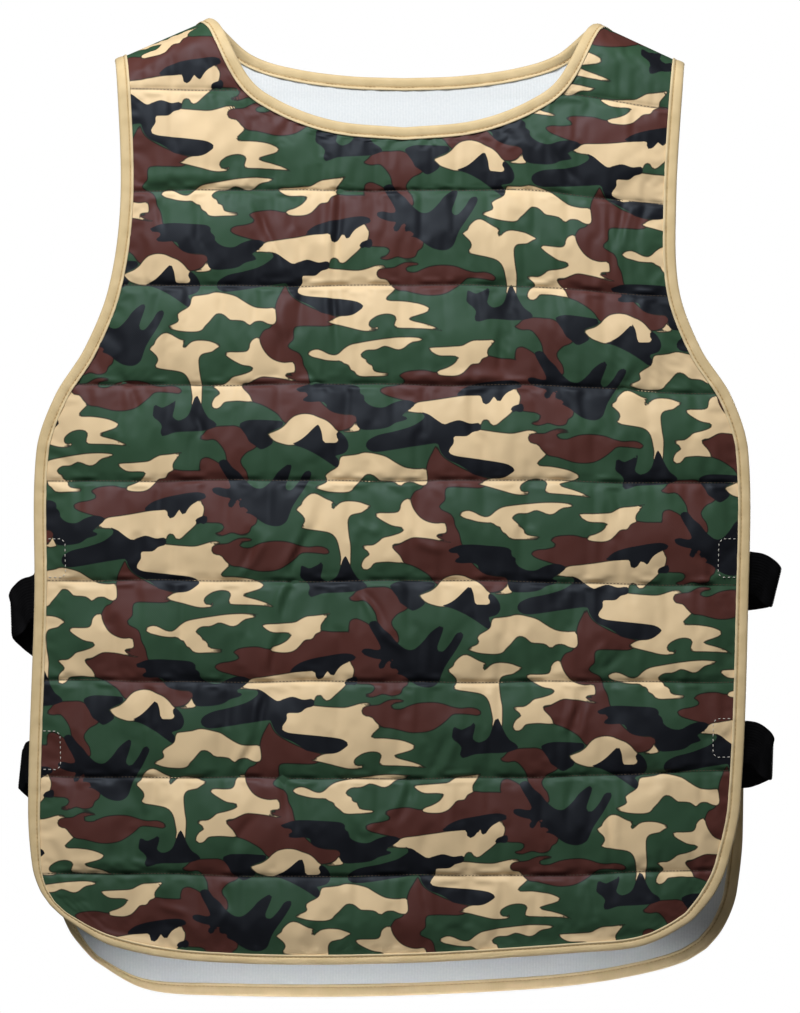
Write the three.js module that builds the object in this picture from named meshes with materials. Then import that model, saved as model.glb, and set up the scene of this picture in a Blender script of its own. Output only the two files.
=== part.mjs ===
// A quilted pull-over work vest: camouflage outer cloth, white lining, tan bias binding and black
// elastic side straps. It hangs from its shoulders, open at the neck, the arms and the waist.
// Millimetres, +Z up, front towards -Y. The origin is where a hanger or the wearer's shoulders carry
// it: on the middle plane, level with the shoulder seams at the neck.
import * as THREE from "three";

// Driving dimensions
const SHOULDER_ROLL = 30; // radius of the cloth where it turns over the shoulder
const NECK_HALF_WIDTH = 139; // neck point of each shoulder seam from the middle of the neck
const NECK_SHIFT = 3; // the neck hangs this far to the right of the origin
const SHOULDER_SLOPE = 0.45; // fall of the shoulder seam for each millimetre outwards
const SHOULDER_TILT = 0.014; // the right shoulder hangs lower: fall for each millimetre to the right
const CHANNEL_PITCH = 69.5; // height of one quilted channel
const FIRST_STITCH = 68; // cloth between the neck point and the first quilting line
const CHANNEL_CROWN = 3.6; // how far the padding lifts the outer cloth between two quilting lines
const CLOTH_GAP = 0.3; // shell and lining each keep this far from the surface between them
const EDGE_LIFT = 1.4; // outer face of shell and lining where they are stitched flat
const BINDING_WIDTH = 9; // width of each leg of the folded binding
const BINDING_WALL = 0.8;
const BINDING_PLAY = 0.85; // room between the binding's legs and the cloth inside them
const BINDING_FOLD = 1; // thickness of the fold round the raw edge
const EDGE_INSET = 3; // raw edge of the cloth inside the outline of the binding
const PRESSED_EDGE = 10.5; // strip along the raw edge that is pressed flat for the binding
const SEAM_GAP = 0.15; // each panel stops this far from the crest of the shoulder
const PRESSED_SEAM = 4; // strip along the shoulder seam that is pressed flat
const STRAP_WIDTH = 30;
const STRAP_THICKNESS = 1.4;
const STRAP_SEWN = 25; // length of strap that is sewn behind the panel, from the outline inwards
const STRAP_GAP = 0.6; // room between a strap and the lining that it is sewn to
const LOOP_ROUND = { half: 8, nose: 3 }; // rounding of a strap's loop at its tip

// How the panels stand out from the middle plane, below the shoulder roll
const BELLY = { front: 12, back: 8 }; // most that a panel bulges beyond the roll, at its middle
const SIDE_TUCK = 8; // how far the side edges turn in towards each other
const HALF_WIDTH = 255;

// Side edges of a panel: length of cloth below the neck point, left edge, right edge
const ARMHOLE_ROWS = [
  { down: 30, left: -203.5, right: 203.5 },
  { down: 70, left: -199.5, right: 199.5 },
  { down: 150, left: -197.5, right: 195 },
  { down: 210, left: -206, right: 197 },
  { down: 252, left: -223, right: 212.5 },
  { down: 285, left: -244, right: 234 },
  { down: 325, left: -257.5, right: 246.5 },
];
const PANELS = {
  front: {
    face: -1,
    sides: [
      ...ARMHOLE_ROWS,
      { down: 430, left: -259, right: 246.5 },
      { down: 575, left: -263.5, right: 240.5 },
      { down: 618, left: -260.5, right: 231 },
      { down: 635, left: -255, right: 223.5 },
      { down: 646, left: -247.5, right: 215.5 },
    ],
    hem: [
      { x: -247.5, down: 646 },
      { x: -236.5, down: 655.5 },
      { x: -203, down: 674.5 },
      { x: -140, down: 684 },
      { x: 10, down: 684.5 },
      { x: 130, down: 677.5 },
      { x: 172, down: 672.5 },
      { x: 204, down: 657 },
      { x: 215.5, down: 646 },
    ],
    neck: [
      { x: 0, down: 96 },
      { x: 50, down: 91 },
      { x: 90, down: 76 },
      { x: 112, down: 57 },
      { x: NECK_HALF_WIDTH, down: 0 },
    ],
  },
  back: {
    face: 1,
    sides: [
      ...ARMHOLE_ROWS,
      { down: 430, left: -256, right: 248 },
      { down: 600, left: -254, right: 247.5 },
      { down: 655, left: -246, right: 242.5 },
      { down: 671, left: -238, right: 234 },
      { down: 683, left: -229, right: 222.5 },
    ],
    hem: [
      { x: -229, down: 683 },
      { x: -220, down: 692 },
      { x: -186, down: 712 },
      { x: -140, down: 718 },
      { x: -40, down: 719 },
      { x: 87, down: 714 },
      { x: 140, down: 709 },
      { x: 210, down: 691.5 },
      { x: 222.5, down: 683 },
    ],
    neck: [
      { x: 0, down: 53.5 },
      { x: 40, down: 52 },
      { x: 80, down: 46.5 },
      { x: 110, down: 35 },
      { x: NECK_HALF_WIDTH, down: 0 },
    ],
  },
};

// Soft upright folds of the hanging cloth: place across the panel, half width and depth at the hem
const FOLDS = {
  front: [
    { x: -190, halfWidth: 40, depth: -4 },
    { x: -75, halfWidth: 55, depth: 3 },
    { x: 60, halfWidth: 50, depth: -3 },
    { x: 175, halfWidth: 38, depth: 4 },
  ],
  back: [
    { x: -120, halfWidth: 55, depth: 4 },
    { x: 20, halfWidth: 60, depth: -3 },
    { x: 150, halfWidth: 50, depth: 4 },
  ],
};
const FOLD_START = 260; // the folds grow from nothing here to their full depth at the hem
const FOLD_END = 690;

// Side straps: level of the sewn end behind the front, tip of the loop, level of the end at the back
const STRAPS = [
  { name: "strap_left_upper", side: -1, front: 400, tipX: -279, tipDrop: 427, back: 467 },
  { name: "strap_left_lower", side: -1, front: 536, tipX: -271, tipDrop: 533, back: 558 },
  { name: "strap_right_upper", side: 1, front: 400, tipX: 269, tipDrop: 403, back: 422 },
  { name: "strap_right_lower", side: 1, front: 527, tipX: 266, tipDrop: 527, back: 552 },
];

// The grid of the cloth. Below the neck band its rows are level, on the quilting lines and their thirds,
// down to a band that bends with the hem.
const NECK_BAND_END = FIRST_STITCH + CHANNEL_PITCH;
const HEM_BAND_START = FIRST_STITCH + 7 * CHANNEL_PITCH;
const ARMHOLE_END = FIRST_STITCH + 4 * CHANNEL_PITCH; // the side edges run nearly straight below this

// Rows of the hem band, as shares of its height at the sides and at the middle
const HEM_BAND_ROWS = [
  { side: 0.25, middle: 0.18 },
  { side: 0.5, middle: 0.36 },
  { side: 0.7, middle: 0.535 },
  { side: 0.8, middle: 0.73 },
  { side: 0.89, middle: 0.9 },
  { side: 1, middle: 1 },
];

// Rows of the neck band, as shares of its height below the shoulder seam and below the neck's middle
const NECK_BAND_ROWS = [
  { shoulder: 0, neck: 0 },
  { shoulder: 0.02, neck: 0.25 },
  { shoulder: 0.12, neck: 0.38 },
  { shoulder: 0.21, neck: 0.49 },
  { shoulder: 0.31, neck: 0.6 },
  { shoulder: 0.44, neck: 0.72 },
  { shoulder: 0.7, neck: 0.86 },
];

// Columns from the middle outwards: share of the neck's half width at the top, and of the panel's half
// width below the neck band
const NECK_COLUMNS = [
  { neck: 0, body: 0 },
  { neck: 0.2, body: 0.13 },
  { neck: 0.41, body: 0.27 },
  { neck: 0.62, body: 0.42 },
  { neck: 0.8, body: 0.56 },
  { neck: 0.9, body: 0.68 },
  { neck: 0.965, body: 0.785 },
  { neck: 1, body: 0.885 },
];
const SEAM_COLUMNS = [0.95, 1]; // the two columns beside the armhole, as shares of the half width

const mix = (a, b, t) => a + (b - a) * t;
const ramp = (low, high, v) => THREE.MathUtils.smoothstep(v, low, high);

// A smooth function through the rows of a table: cubic spans whose slopes come from their neighbours.
function through(rows, key, value) {
  const slope = (i) => {
    const before = rows[Math.max(i - 1, 0)];
    const after = rows[Math.min(i + 1, rows.length - 1)];
    return (after[value] - before[value]) / (after[key] - before[key]);
  };
  return (k) => {
    let i = 0;
    while (i < rows.length - 2 && k > rows[i + 1][key]) i++;
    const [a, b] = [rows[i], rows[i + 1]];
    const span = b[key] - a[key];
    const t = THREE.MathUtils.clamp((k - a[key]) / span, 0, 1);
    const [t2, t3] = [t * t, t * t * t];
    return (
      (2 * t3 - 3 * t2 + 1) * a[value] +
      (t3 - 2 * t2 + t) * span * slope(i) +
      (3 * t2 - 2 * t3) * b[value] +
      (t3 - t2) * span * slope(i + 1)
    );
  };
}

// Level of the shoulder seam below the left neck point.
function shoulderDown(x) {
  const fromMiddle = x - NECK_SHIFT;
  const outwards = Math.max(0, Math.abs(fromMiddle) - NECK_HALF_WIDTH);
  return SHOULDER_SLOPE * outwards + SHOULDER_TILT * (fromMiddle + NECK_HALF_WIDTH);
}

// How far a panel stands out beyond the shoulder roll: a belly in the middle, edges that turn in,
// and the soft folds that open towards the hem.
function standOff(panelName, x, drop) {
  const across = (x / HALF_WIDTH) ** 2;
  const belly = BELLY[panelName] * ramp(30, 400, drop) * (1 - 0.3 * ramp(380, 720, drop));
  let out = belly * (1 - across) - SIDE_TUCK * ramp(40, 380, drop) * across;
  for (const fold of FOLDS[panelName]) {
    const bell = Math.exp(-(((x - fold.x) / fold.halfWidth) ** 2));
    out += fold.depth * bell * ramp(FOLD_START, FOLD_END, drop);
  }
  return out;
}

// A point of the surface between shell and lining. The cloth turns over the shoulder on a round of
// SHOULDER_ROLL and then hangs straight, so a length of cloth keeps its length.
function surface(panelName, x, down) {
  const seam = shoulderDown(x);
  const length = down - seam;
  const turn = Math.min(length / SHOULDER_ROLL, Math.PI / 2);
  const hanging = Math.max(0, length - (SHOULDER_ROLL * Math.PI) / 2);
  const drop = seam + SHOULDER_ROLL * (1 - Math.cos(turn)) + hanging;
  const out = SHOULDER_ROLL * Math.sin(turn) + standOff(panelName, x, drop);
  return new THREE.Vector3(x, PANELS[panelName].face * out, -drop);
}

// Directions of the cloth at a point: down along it, and outwards from it.
function directions(panelName, x, down) {
  const step = 0.5;
  const along = surface(panelName, x + step, down).sub(surface(panelName, x - step, down));
  const below = surface(panelName, x, down + step).sub(surface(panelName, x, down - step));
  const outward = along.clone().cross(below).normalize().multiplyScalar(PANELS[panelName].face);
  return { below: below.normalize(), outward };
}

// A point on the cloth, lifted off that surface: outwards if positive, towards the wearer if not.
function cloth(panelName, x, down, lift) {
  const { outward } = directions(panelName, x, down);
  return surface(panelName, x, down).addScaledVector(outward, lift);
}

// The four edges of a panel's outline as functions: sides by cloth length, hem and top by place across.
function outlineOf(panelName) {
  const { sides, hem, neck } = PANELS[panelName];
  const neckDown = through(neck, "x", "down");
  const tip = sides[0];
  const corner = sides[sides.length - 1];
  return {
    tip,
    corner,
    left: through(sides, "down", "left"),
    right: through(sides, "down", "right"),
    hem: through(hem, "x", "down"),
    top: (x) => {
      const fromMiddle = Math.abs(x - NECK_SHIFT);
      const neckPoint = shoulderDown(NECK_SHIFT + Math.sign(x - NECK_SHIFT) * NECK_HALF_WIDTH);
      const isNeck = fromMiddle < NECK_HALF_WIDTH;
      return isNeck ? Math.max(neckDown(fromMiddle), neckPoint) : shoulderDown(x);
    },
  };
}

// Columns of a panel's grid from left to right: place across the top edge, and share of the panel's
// width at the top and below the neck band.
function columnsOf({ tip, top }) {
  const width = tip.right - tip.left;
  const column = (x, body) => ({ x, rise: top(x), top: (x - tip.left) / width, body: (1 + body) / 2 });
  const halfOf = (side) => [
    ...NECK_COLUMNS.map(({ neck, body }) => column(NECK_SHIFT + side * neck * NECK_HALF_WIDTH, side * body)),
    ...SEAM_COLUMNS.map((share) => column(mix(tip.left, tip.right, (1 + side * share) / 2), side * share)),
  ];
  return [...halfOf(-1).slice(1).reverse(), ...halfOf(1)];
}

// Rows of a panel's grid from the top down. Each has its level at the side edges and its shares of the
// heights of the neck band and the hem band. There are three rows to a channel beside the armhole, and
// below it three or, in a coarse grid, one.
function rowsOf({ tip, corner }, coarse) {
  const evenly = (from, to, rows) => {
    const steps = Math.round((to - from) / CHANNEL_PITCH) * rows;
    return Array.from({ length: steps }, (_, i) => mix(from, to, i / steps));
  };
  const between = [
    ...evenly(NECK_BAND_END, ARMHOLE_END, 3),
    ...evenly(ARMHOLE_END, HEM_BAND_START, coarse ? 1 : 3),
    HEM_BAND_START,
  ];
  const hemRows = coarse ? HEM_BAND_ROWS.filter((_, i) => i % 2) : HEM_BAND_ROWS;
  const [above, below] = [{ shoulder: 1, neck: 1 }, { side: 0, middle: 0 }];
  return [
    ...NECK_BAND_ROWS.map((row) => ({ ...row, ...below, level: mix(tip.down, NECK_BAND_END, row.shoulder) })),
    ...between.map((level) => ({ ...above, ...below, level })),
    ...hemRows.map((row) => ({ ...above, ...row, level: mix(HEM_BAND_START, corner.down, row.side) })),
  ];
}

// The grid of a panel on its flat cloth, rows of { x, down } from the top edge to the hem, with its
// outermost points on the outline of the binding.
function outlineGrid(panelName, coarse) {
  const outline = outlineOf(panelName);
  const { corner, left, right, hem } = outline;
  const neckDepth = PANELS[panelName].neck[0].down;
  return rowsOf(outline, coarse).map(({ shoulder, neck, side, middle, level }) => {
    return columnsOf(outline).map((column) => {
      const isNeck = Math.abs(column.x - NECK_SHIFT) < NECK_HALF_WIDTH + 0.5;
      const depth = isNeck ? Math.sqrt(THREE.MathUtils.clamp(column.rise / neckDepth, 0.06, 1)) : 0;
      const fall = mix(shoulder, neck, depth);
      const fan = 1 - (1 - fall) ** 3;
      const hemDown = hem(mix(corner.left, corner.right, column.body));
      const hemDepth = Math.min((hemDown - corner.down) / 30, 1);
      const hemShare = mix(side, middle, hemDepth);
      const bandTop = THREE.MathUtils.clamp(level, NECK_BAND_END, HEM_BAND_START);
      return {
        x: mix(left(level), right(level), mix(column.top, column.body, fan)),
        down: mix(mix(column.rise, bandTop, fall), hemDown, hemShare),
      };
    });
  });
}

// The outermost points of a grid in order: down the left side, along the hem, up the right side and
// back along the top. Each has a function that gives the point at one distance inside the bound
// edges next to it and at another distance from the shoulder seam.
function rim(grid) {
  const lastRow = grid.length - 1;
  const lastColumn = grid[0].length - 1;
  const ring = [];
  for (let j = 0; j < lastRow; j++) ring.push([j, 0]);
  for (let i = 0; i < lastColumn; i++) ring.push([lastRow, i]);
  for (let j = lastRow; j > 0; j--) ring.push([j, lastColumn]);
  for (let i = lastColumn; i > 0; i--) ring.push([0, i]);
  const pointAt = (k) => {
    const [j, i] = ring[(k + ring.length) % ring.length];
    return grid[j][i];
  };
  const onShoulder = (p) => Math.abs(p.x - NECK_SHIFT) > NECK_HALF_WIDTH - 0.5;
  const span = (k) => {
    const [a, b] = [pointAt(k), pointAt(k + 1)];
    const normal = new THREE.Vector2(b.down - a.down, a.x - b.x).normalize();
    const isTop = ring[(k + ring.length) % ring.length][0] + ring[(k + 1) % ring.length][0] === 0;
    return { normal, seam: isTop && onShoulder(a) && onShoulder(b) };
  };
  return ring.map(([row, column], k) => {
    const point = pointAt(k);
    const [before, after] = [span(k - 1), span(k)];
    const inside = (bound, seam) => {
      const [first, second] = [before, after].map((s) => (s.seam ? seam : bound));
      const lean = before.normal.dot(after.normal);
      const spread = Math.max(1 - lean * lean, 1e-9);
      const straight = lean > 0.999;
      const a = straight ? first / 2 : (first - second * lean) / spread;
      const b = straight ? second / 2 : (second - first * lean) / spread;
      return {
        x: point.x + a * before.normal.x + b * after.normal.x,
        down: point.down + a * before.normal.y + b * after.normal.y,
      };
    };
    return { row, column, point, inside };
  });
}

// The grid of a panel's cloth: its raw edge lies inside the binding, and the next line of points is
// the inner side of the strip that is pressed flat.
function clothGrid(panelName, coarse) {
  const grid = outlineGrid(panelName, coarse);
  const ring = rim(grid);
  const [lastRow, lastColumn] = [grid.length - 1, grid[0].length - 1];
  const inner = (index, last) => THREE.MathUtils.clamp(index, 1, last - 1);
  const isCorner = ({ row, column }) => row % lastRow === 0 && column % lastColumn === 0;
  const ordered = [...ring.filter((p) => !isCorner(p)), ...ring.filter(isCorner)];
  for (const { row, column, inside } of ordered) {
    grid[inner(row, lastRow)][inner(column, lastColumn)] = inside(PRESSED_EDGE, PRESSED_SEAM);
  }
  for (const { row, column, inside } of ring) grid[row][column] = inside(EDGE_INSET, SEAM_GAP);
  return grid;
}

// A closed geometry from lists of points and of quads, each quad anticlockwise seen from outside.
function solidOf(points, quads) {
  const triangles = quads.flatMap(([a, b, c, d]) => [a, b, c, a, c, d]);
  const geometry = new THREE.BufferGeometry().setFromPoints(points);
  geometry.setIndex(triangles);
  geometry.computeVertexNormals();
  return geometry;
}

// A wall of cloth over a panel's grid, between two lifts off its surface.
function wall(panelName, grid, outerLift, innerLift) {
  const columns = grid[0].length;
  const count = grid.length * columns;
  const face = (lift) =>
    grid.flatMap((row, j) => row.map((p, i) => cloth(panelName, p.x, p.down, lift(p, j, i))));
  const turned = PANELS[panelName].face > 0;
  const quads = [];
  const put = (quad) => quads.push(turned ? quad.reverse() : quad);
  for (let j = 0; j < grid.length - 1; j++) {
    for (let i = 0; i < columns - 1; i++) {
      const [a, b, c, d] = [
        j * columns + i,
        (j + 1) * columns + i,
        (j + 1) * columns + i + 1,
        j * columns + i + 1,
      ];
      put([a, b, c, d]);
      put([a + count, d + count, c + count, b + count]);
    }
  }
  const ring = rim(grid).map(({ row, column }) => row * columns + column);
  ring.forEach((a, k) => {
    const b = ring[(k + 1) % ring.length];
    put([a, a + count, b + count, b]);
  });
  return solidOf([...face(outerLift), ...face(innerLift)], quads);
}

// The padded outer cloth: pressed flat at its edges and on the quilting lines, crowned between them.
function shell(panelName) {
  const grid = clothGrid(panelName, false);
  const edge = rim(outlineGrid(panelName, false)).map(({ point }) => point);
  const fromEdge = (p) => Math.min(...edge.map((e) => Math.hypot(p.x - e.x, p.down - e.down)));
  const crown = (p) => Math.abs(Math.sin((Math.PI * (p.down - FIRST_STITCH)) / CHANNEL_PITCH)) ** 0.6;
  const fill = (p) => CHANNEL_CROWN * crown(p) * ramp(PRESSED_EDGE, PRESSED_EDGE + 22, fromEdge(p));
  const isPressed = (j, i) => j < 2 || i < 2 || j > grid.length - 3 || i > grid[0].length - 3;
  const outer = (p, j, i) => EDGE_LIFT + (isPressed(j, i) ? 0 : fill(p));
  return wall(panelName, grid, outer, () => CLOTH_GAP);
}

// The lining: one even wall on the wearer's side.
function lining(panelName) {
  return wall(panelName, clothGrid(panelName, true), () => -CLOTH_GAP, () => -EDGE_LIFT);
}

// A body swept through sections, each a ring of points. A closed sweep joins its last section to its
// first, and an open one gets an end face at each end. The sides of the ring that are named in
// otherWay are split along their other diagonal.
function sweep(sections, closed, otherWay = []) {
  const sides = sections[0].length;
  const quads = [];
  const steps = closed ? sections.length : sections.length - 1;
  for (let s = 0; s < steps; s++) {
    const [here, next] = [s * sides, ((s + 1) % sections.length) * sides];
    for (let k = 0; k < sides; k++) {
      const l = (k + 1) % sides;
      const quad = [here + k, here + l, next + l, next + k];
      quads.push(otherWay.includes(k) ? [...quad.slice(1), quad[0]] : quad);
    }
  }
  if (!closed) {
    const last = (sections.length - 1) * sides;
    quads.push([3, 2, 1, 0], [last, last + 1, last + 2, last + 3]);
  }
  return solidOf(sections.flat(), quads);
}

// The folded tape in section: distance inwards from the outline, lift off the cloth's surface.
function bindingSection() {
  const inner = EDGE_LIFT + BINDING_PLAY;
  const outer = inner + BINDING_WALL;
  const round = 1.2;
  return [
    { inward: BINDING_WIDTH, lift: inner },
    { inward: BINDING_WIDTH, lift: outer },
    { inward: round, lift: outer },
    { inward: 0, lift: outer - round },
    { inward: 0, lift: round - outer },
    { inward: round, lift: -outer },
    { inward: BINDING_WIDTH, lift: -outer },
    { inward: BINDING_WIDTH, lift: -inner },
    { inward: BINDING_FOLD, lift: -inner },
    { inward: BINDING_FOLD, lift: inner },
  ];
}

// Sections of binding along the outer edge or the neck edge of one panel. At the shoulder seams the
// tape runs straight over the crest, so its sections there lie along the seam.
function boundEdge(panelName, edgeName) {
  const grid = outlineGrid(panelName, true);
  const lastRow = grid.length - 1;
  const lastColumn = grid[0].length - 1;
  const ring = rim(grid);
  const outerCount = 2 * lastRow + lastColumn + 1;
  const isNeck = ({ point }) => Math.abs(point.x - NECK_SHIFT) < NECK_HALF_WIDTH + 0.5;
  const points = edgeName === "outer" ? ring.slice(0, outerCount) : ring.slice(outerCount).filter(isNeck);
  return points.map(({ inside }) =>
    bindingSection().map(({ inward, lift }) => {
      const place = inside(inward, 0);
      return cloth(panelName, place.x, place.down, lift);
    }),
  );
}

// One loop of binding over both panels: the front edge, then the back edge the other way. Its legs are
// split along the same diagonals as the cloth between them.
function binding(edgeName) {
  const front = boundEdge("front", edgeName);
  const back = boundEdge("back", edgeName).slice(1, -1).reverse();
  const outerLeg = [9, 0, 1];
  const innerLeg = [5, 6, 7];
  return sweep([...front, ...back], true, edgeName === "outer" ? innerLeg : outerLeg);
}

// An elastic strap: sewn flat behind the front panel, out past its edge in a slack loop, and back to
// the back panel.
function strap({ side, front, tipX, tipDrop, back }) {
  const edgeAt = (panelName, down) => outlineOf(panelName)[side < 0 ? "left" : "right"](down);
  const flat = -(EDGE_LIFT + STRAP_GAP + STRAP_THICKNESS / 2);
  const underBinding = flat - BINDING_PLAY - BINDING_WALL;
  const frontEdge = edgeAt("front", front);
  const backEdge = edgeAt("back", back);
  const rollLoss = SHOULDER_ROLL * (Math.PI / 2 - 1);
  const tipDown = tipDrop + rollLoss;
  const level = (from, share) => mix(from, tipDown, share);
  const spine = new THREE.CatmullRomCurve3(
    [
      cloth("front", frontEdge - side * STRAP_SEWN, level(front, 0), flat),
      cloth("front", frontEdge - side * (BINDING_WIDTH + 8), level(front, 0.06), flat),
      cloth("front", frontEdge - side * (BINDING_WIDTH + 1), level(front, 0.2), underBinding),
      cloth("front", frontEdge + side * 2, level(front, 0.5), underBinding - 0.6),
      new THREE.Vector3(tipX - side * LOOP_ROUND.nose, -LOOP_ROUND.half, -tipDrop),
      new THREE.Vector3(tipX, 0, -tipDrop),
      new THREE.Vector3(tipX - side * LOOP_ROUND.nose, LOOP_ROUND.half, -tipDrop),
      cloth("back", backEdge + side * 2, level(back, 0.5), underBinding - 0.6),
      cloth("back", backEdge - side * (BINDING_WIDTH + 1), level(back, 0.2), underBinding),
      cloth("back", backEdge - side * (BINDING_WIDTH + 8), level(back, 0.06), flat),
      cloth("back", backEdge - side * STRAP_SEWN, level(back, 0), flat),
    ],
    false,
    "centripetal",
  );
  const upAtFront = directions("front", frontEdge, front).below.negate();
  const upAtBack = directions("back", backEdge, back).below.negate();
  const steps = 18;
  const sections = Array.from({ length: steps + 1 }, (_, k) => {
    const share = k / steps;
    const middle = spine.getPointAt(share);
    const along = spine.getTangentAt(share);
    const across = upAtFront.clone().lerp(upAtBack, share).normalize();
    const facing = along.clone().cross(across).normalize();
    return [
      [1, 1],
      [-1, 1],
      [-1, -1],
      [1, -1],
    ].map(([w, t]) =>
      middle
        .clone()
        .addScaledVector(across, (w * STRAP_WIDTH) / 2)
        .addScaledVector(facing, (t * STRAP_THICKNESS) / 2),
    );
  });
  return sweep(sections, false);
}

// Finishes
const FINISHES = {
  camouflage: new THREE.MeshStandardMaterial({ color: 0x3a4a30, roughness: 0.55, metalness: 0 }),
  white: new THREE.MeshStandardMaterial({ color: 0xdfe4e8, roughness: 0.85, metalness: 0 }),
  tan: new THREE.MeshStandardMaterial({ color: 0xc9ad78, roughness: 0.6, metalness: 0 }),
  black: new THREE.MeshStandardMaterial({ color: 0x0d0d10, roughness: 0.8, metalness: 0 }),
};

const vest = new THREE.Group();
function add(name, geometry, finish) {
  const mesh = new THREE.Mesh(geometry, FINISHES[finish]);
  mesh.name = name;
  vest.add(mesh);
}

for (const panelName of ["front", "back"]) {
  add(`${panelName}_shell`, shell(panelName), "camouflage");
  add(`${panelName}_lining`, lining(panelName), "white");
}
add("edge_binding", binding("outer"), "tan");
add("neck_binding", binding("neck"), "tan");
for (const row of STRAPS) add(row.name, strap(row), "black");

export default vest;
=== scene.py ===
import math
import bpy
import numpy as np
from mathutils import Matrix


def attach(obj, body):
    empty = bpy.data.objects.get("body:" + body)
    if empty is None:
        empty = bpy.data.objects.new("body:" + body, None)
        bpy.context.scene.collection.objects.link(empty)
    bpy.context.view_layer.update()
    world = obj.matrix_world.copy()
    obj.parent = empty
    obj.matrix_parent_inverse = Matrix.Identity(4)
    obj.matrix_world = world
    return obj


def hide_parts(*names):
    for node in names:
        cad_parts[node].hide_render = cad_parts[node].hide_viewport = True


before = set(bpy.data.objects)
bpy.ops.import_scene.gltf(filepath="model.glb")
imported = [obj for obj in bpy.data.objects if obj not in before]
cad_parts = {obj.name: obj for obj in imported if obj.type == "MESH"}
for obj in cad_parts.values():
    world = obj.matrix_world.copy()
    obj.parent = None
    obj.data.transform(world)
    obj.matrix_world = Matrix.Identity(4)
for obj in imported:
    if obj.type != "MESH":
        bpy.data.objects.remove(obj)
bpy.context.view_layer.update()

# A quilted pull-over work vest, hung by its shoulders. Lengths are millimetres, and putMesh turns them
# into metres. A place on the flat cloth is x across and down, the length of cloth below the neck point.
mm = 0.001
panels = ("front", "back")

# How the cloth hangs, with the sizes that the frame's solids have
drape = {
    "face": {"front": -1.0, "back": 1.0},
    "roll": 30.0,  # radius of the cloth over the shoulder
    "neckHalf": 139.0,
    "neckShift": 3.0,
    "slope": 0.45,
    "tilt": 0.014,
    "seams": ((139.0, 203.0), (-203.0, -136.0)),  # shoulder seams, from x to x
    "halfWidth": 255.0,
    "belly": {"front": 12.0, "back": 8.0},
    "tuck": 8.0,  # how far the side edges turn in
    "foldTop": 260.0,
    "foldEnd": 690.0,
    "folds": {  # x, half width, depth at the hem
        "front": [(-190, 40, -4), (-75, 55, 3), (60, 50, -3), (175, 38, 4)],
        "back": [(-120, 55, 4), (20, 60, -3), (150, 50, 4)],
    },
}

# Cut of the panels: side edges (down, left, right), hem (x, down), neck (from the middle, down)
armhole = [
    (30, -203.5, 203.5), (70, -199.5, 199.5), (150, -197.5, 195), (210, -206, 197), (252, -223, 212.5),
    (285, -244, 234), (325, -257.5, 246.5),
]
cut = {
    "sides": {
        "front": armhole + [
            (430, -259, 246.5), (575, -263.5, 240.5), (618, -260.5, 231), (635, -255, 223.5),
            (646, -247.5, 215.5),
        ],
        "back": armhole + [
            (430, -256, 248), (600, -254, 247.5), (640, -249, 243.5), (655, -245, 239.5), (671, -238, 231.5),
            (683, -229, 221.5),
        ],
    },
    "hem": {
        "front": [
            (-247.5, 646), (-236.5, 655.5), (-203, 674.5), (-140, 684), (10, 684.5), (130, 677.5),
            (172, 672.5), (204, 657), (215.5, 646),
        ],
        "back": [
            (-229, 683), (-220, 692), (-186, 712), (-140, 718), (-40, 719), (87, 714), (140, 709), (180, 701),
            (206, 692.5), (221.5, 683),
        ],
    },
    "neck": {
        "front": [(0, 96), (50, 91), (90, 76), (112, 57), (139, 0)],
        "back": [(0, 53.5), (40, 52), (80, 46.5), (110, 37), (126, 22), (139, 0)],
    },
}


def mix(a, b, t):
    return a + (b - a) * t


def ramp(low, high, v):  # smooth step from 0 at low to 1 at high
    t = np.clip((v - low) / (high - low), 0, 1)
    return t * t * (3 - 2 * t)


def unit(v):
    return v / np.linalg.norm(v, axis=-1, keepdims=True)


def cubic(t, a, goA, b, goB):  # from a to b, leaving and arriving with the given speeds
    start = (2 * t**3 - 3 * t**2 + 1) * a + (t**3 - 2 * t**2 + t) * goA
    return start + (3 * t**2 - 2 * t**3) * b + (t**3 - t**2) * goB


# Smooth curve through table rows: cubic spans whose slopes come from the rows before and after
def through(rows, at, column=1):
    table = np.array(rows, float)
    key, value = table[:, 0], table[:, column]
    index = np.arange(len(key))
    ahead, behind = np.minimum(index + 1, len(key) - 1), np.maximum(index - 1, 0)
    slope = (value[ahead] - value[behind]) / (key[ahead] - key[behind])
    i = np.clip(np.searchsorted(key, at) - 1, 0, len(key) - 2)
    span = key[i + 1] - key[i]
    t = np.clip((at - key[i]) / span, 0, 1)
    return cubic(t, value[i], span * slope[i], value[i + 1], span * slope[i + 1])


def shoulderDown(x):  # level of the shoulder seam: it falls outwards, and a little to the right
    fromMiddle = x - drape["neckShift"]
    outwards = np.maximum(0, np.abs(fromMiddle) - drape["neckHalf"])
    return drape["slope"] * outwards + drape["tilt"] * (fromMiddle + drape["neckHalf"])


# The middle surface of a panel: a quarter round over the shoulder, then straight down, plus a belly that
# is a parabola across, edges that turn in, and upright folds that are bells growing towards the hem
def hangAt(panel, x, down):
    seam = shoulderDown(x)
    length = down - seam
    turn = np.minimum(length / drape["roll"], math.pi / 2)
    hanging = np.maximum(0, length - drape["roll"] * math.pi / 2)
    drop = seam + drape["roll"] * (1 - np.cos(turn)) + hanging
    across = (x / drape["halfWidth"]) ** 2
    belly = drape["belly"][panel] * ramp(30, 400, drop) * (1 - 0.3 * ramp(380, 720, drop))
    out = drape["roll"] * np.sin(turn) + belly * (1 - across) - drape["tuck"] * ramp(40, 380, drop) * across
    for place, halfWidth, depth in drape["folds"][panel]:
        bell = np.exp(-(((x - place) / halfWidth) ** 2))
        out = out + depth * bell * ramp(drape["foldTop"], drape["foldEnd"], drop)
    return np.stack([x + 0 * out, drape["face"][panel] * out, -drop], -1)


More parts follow.
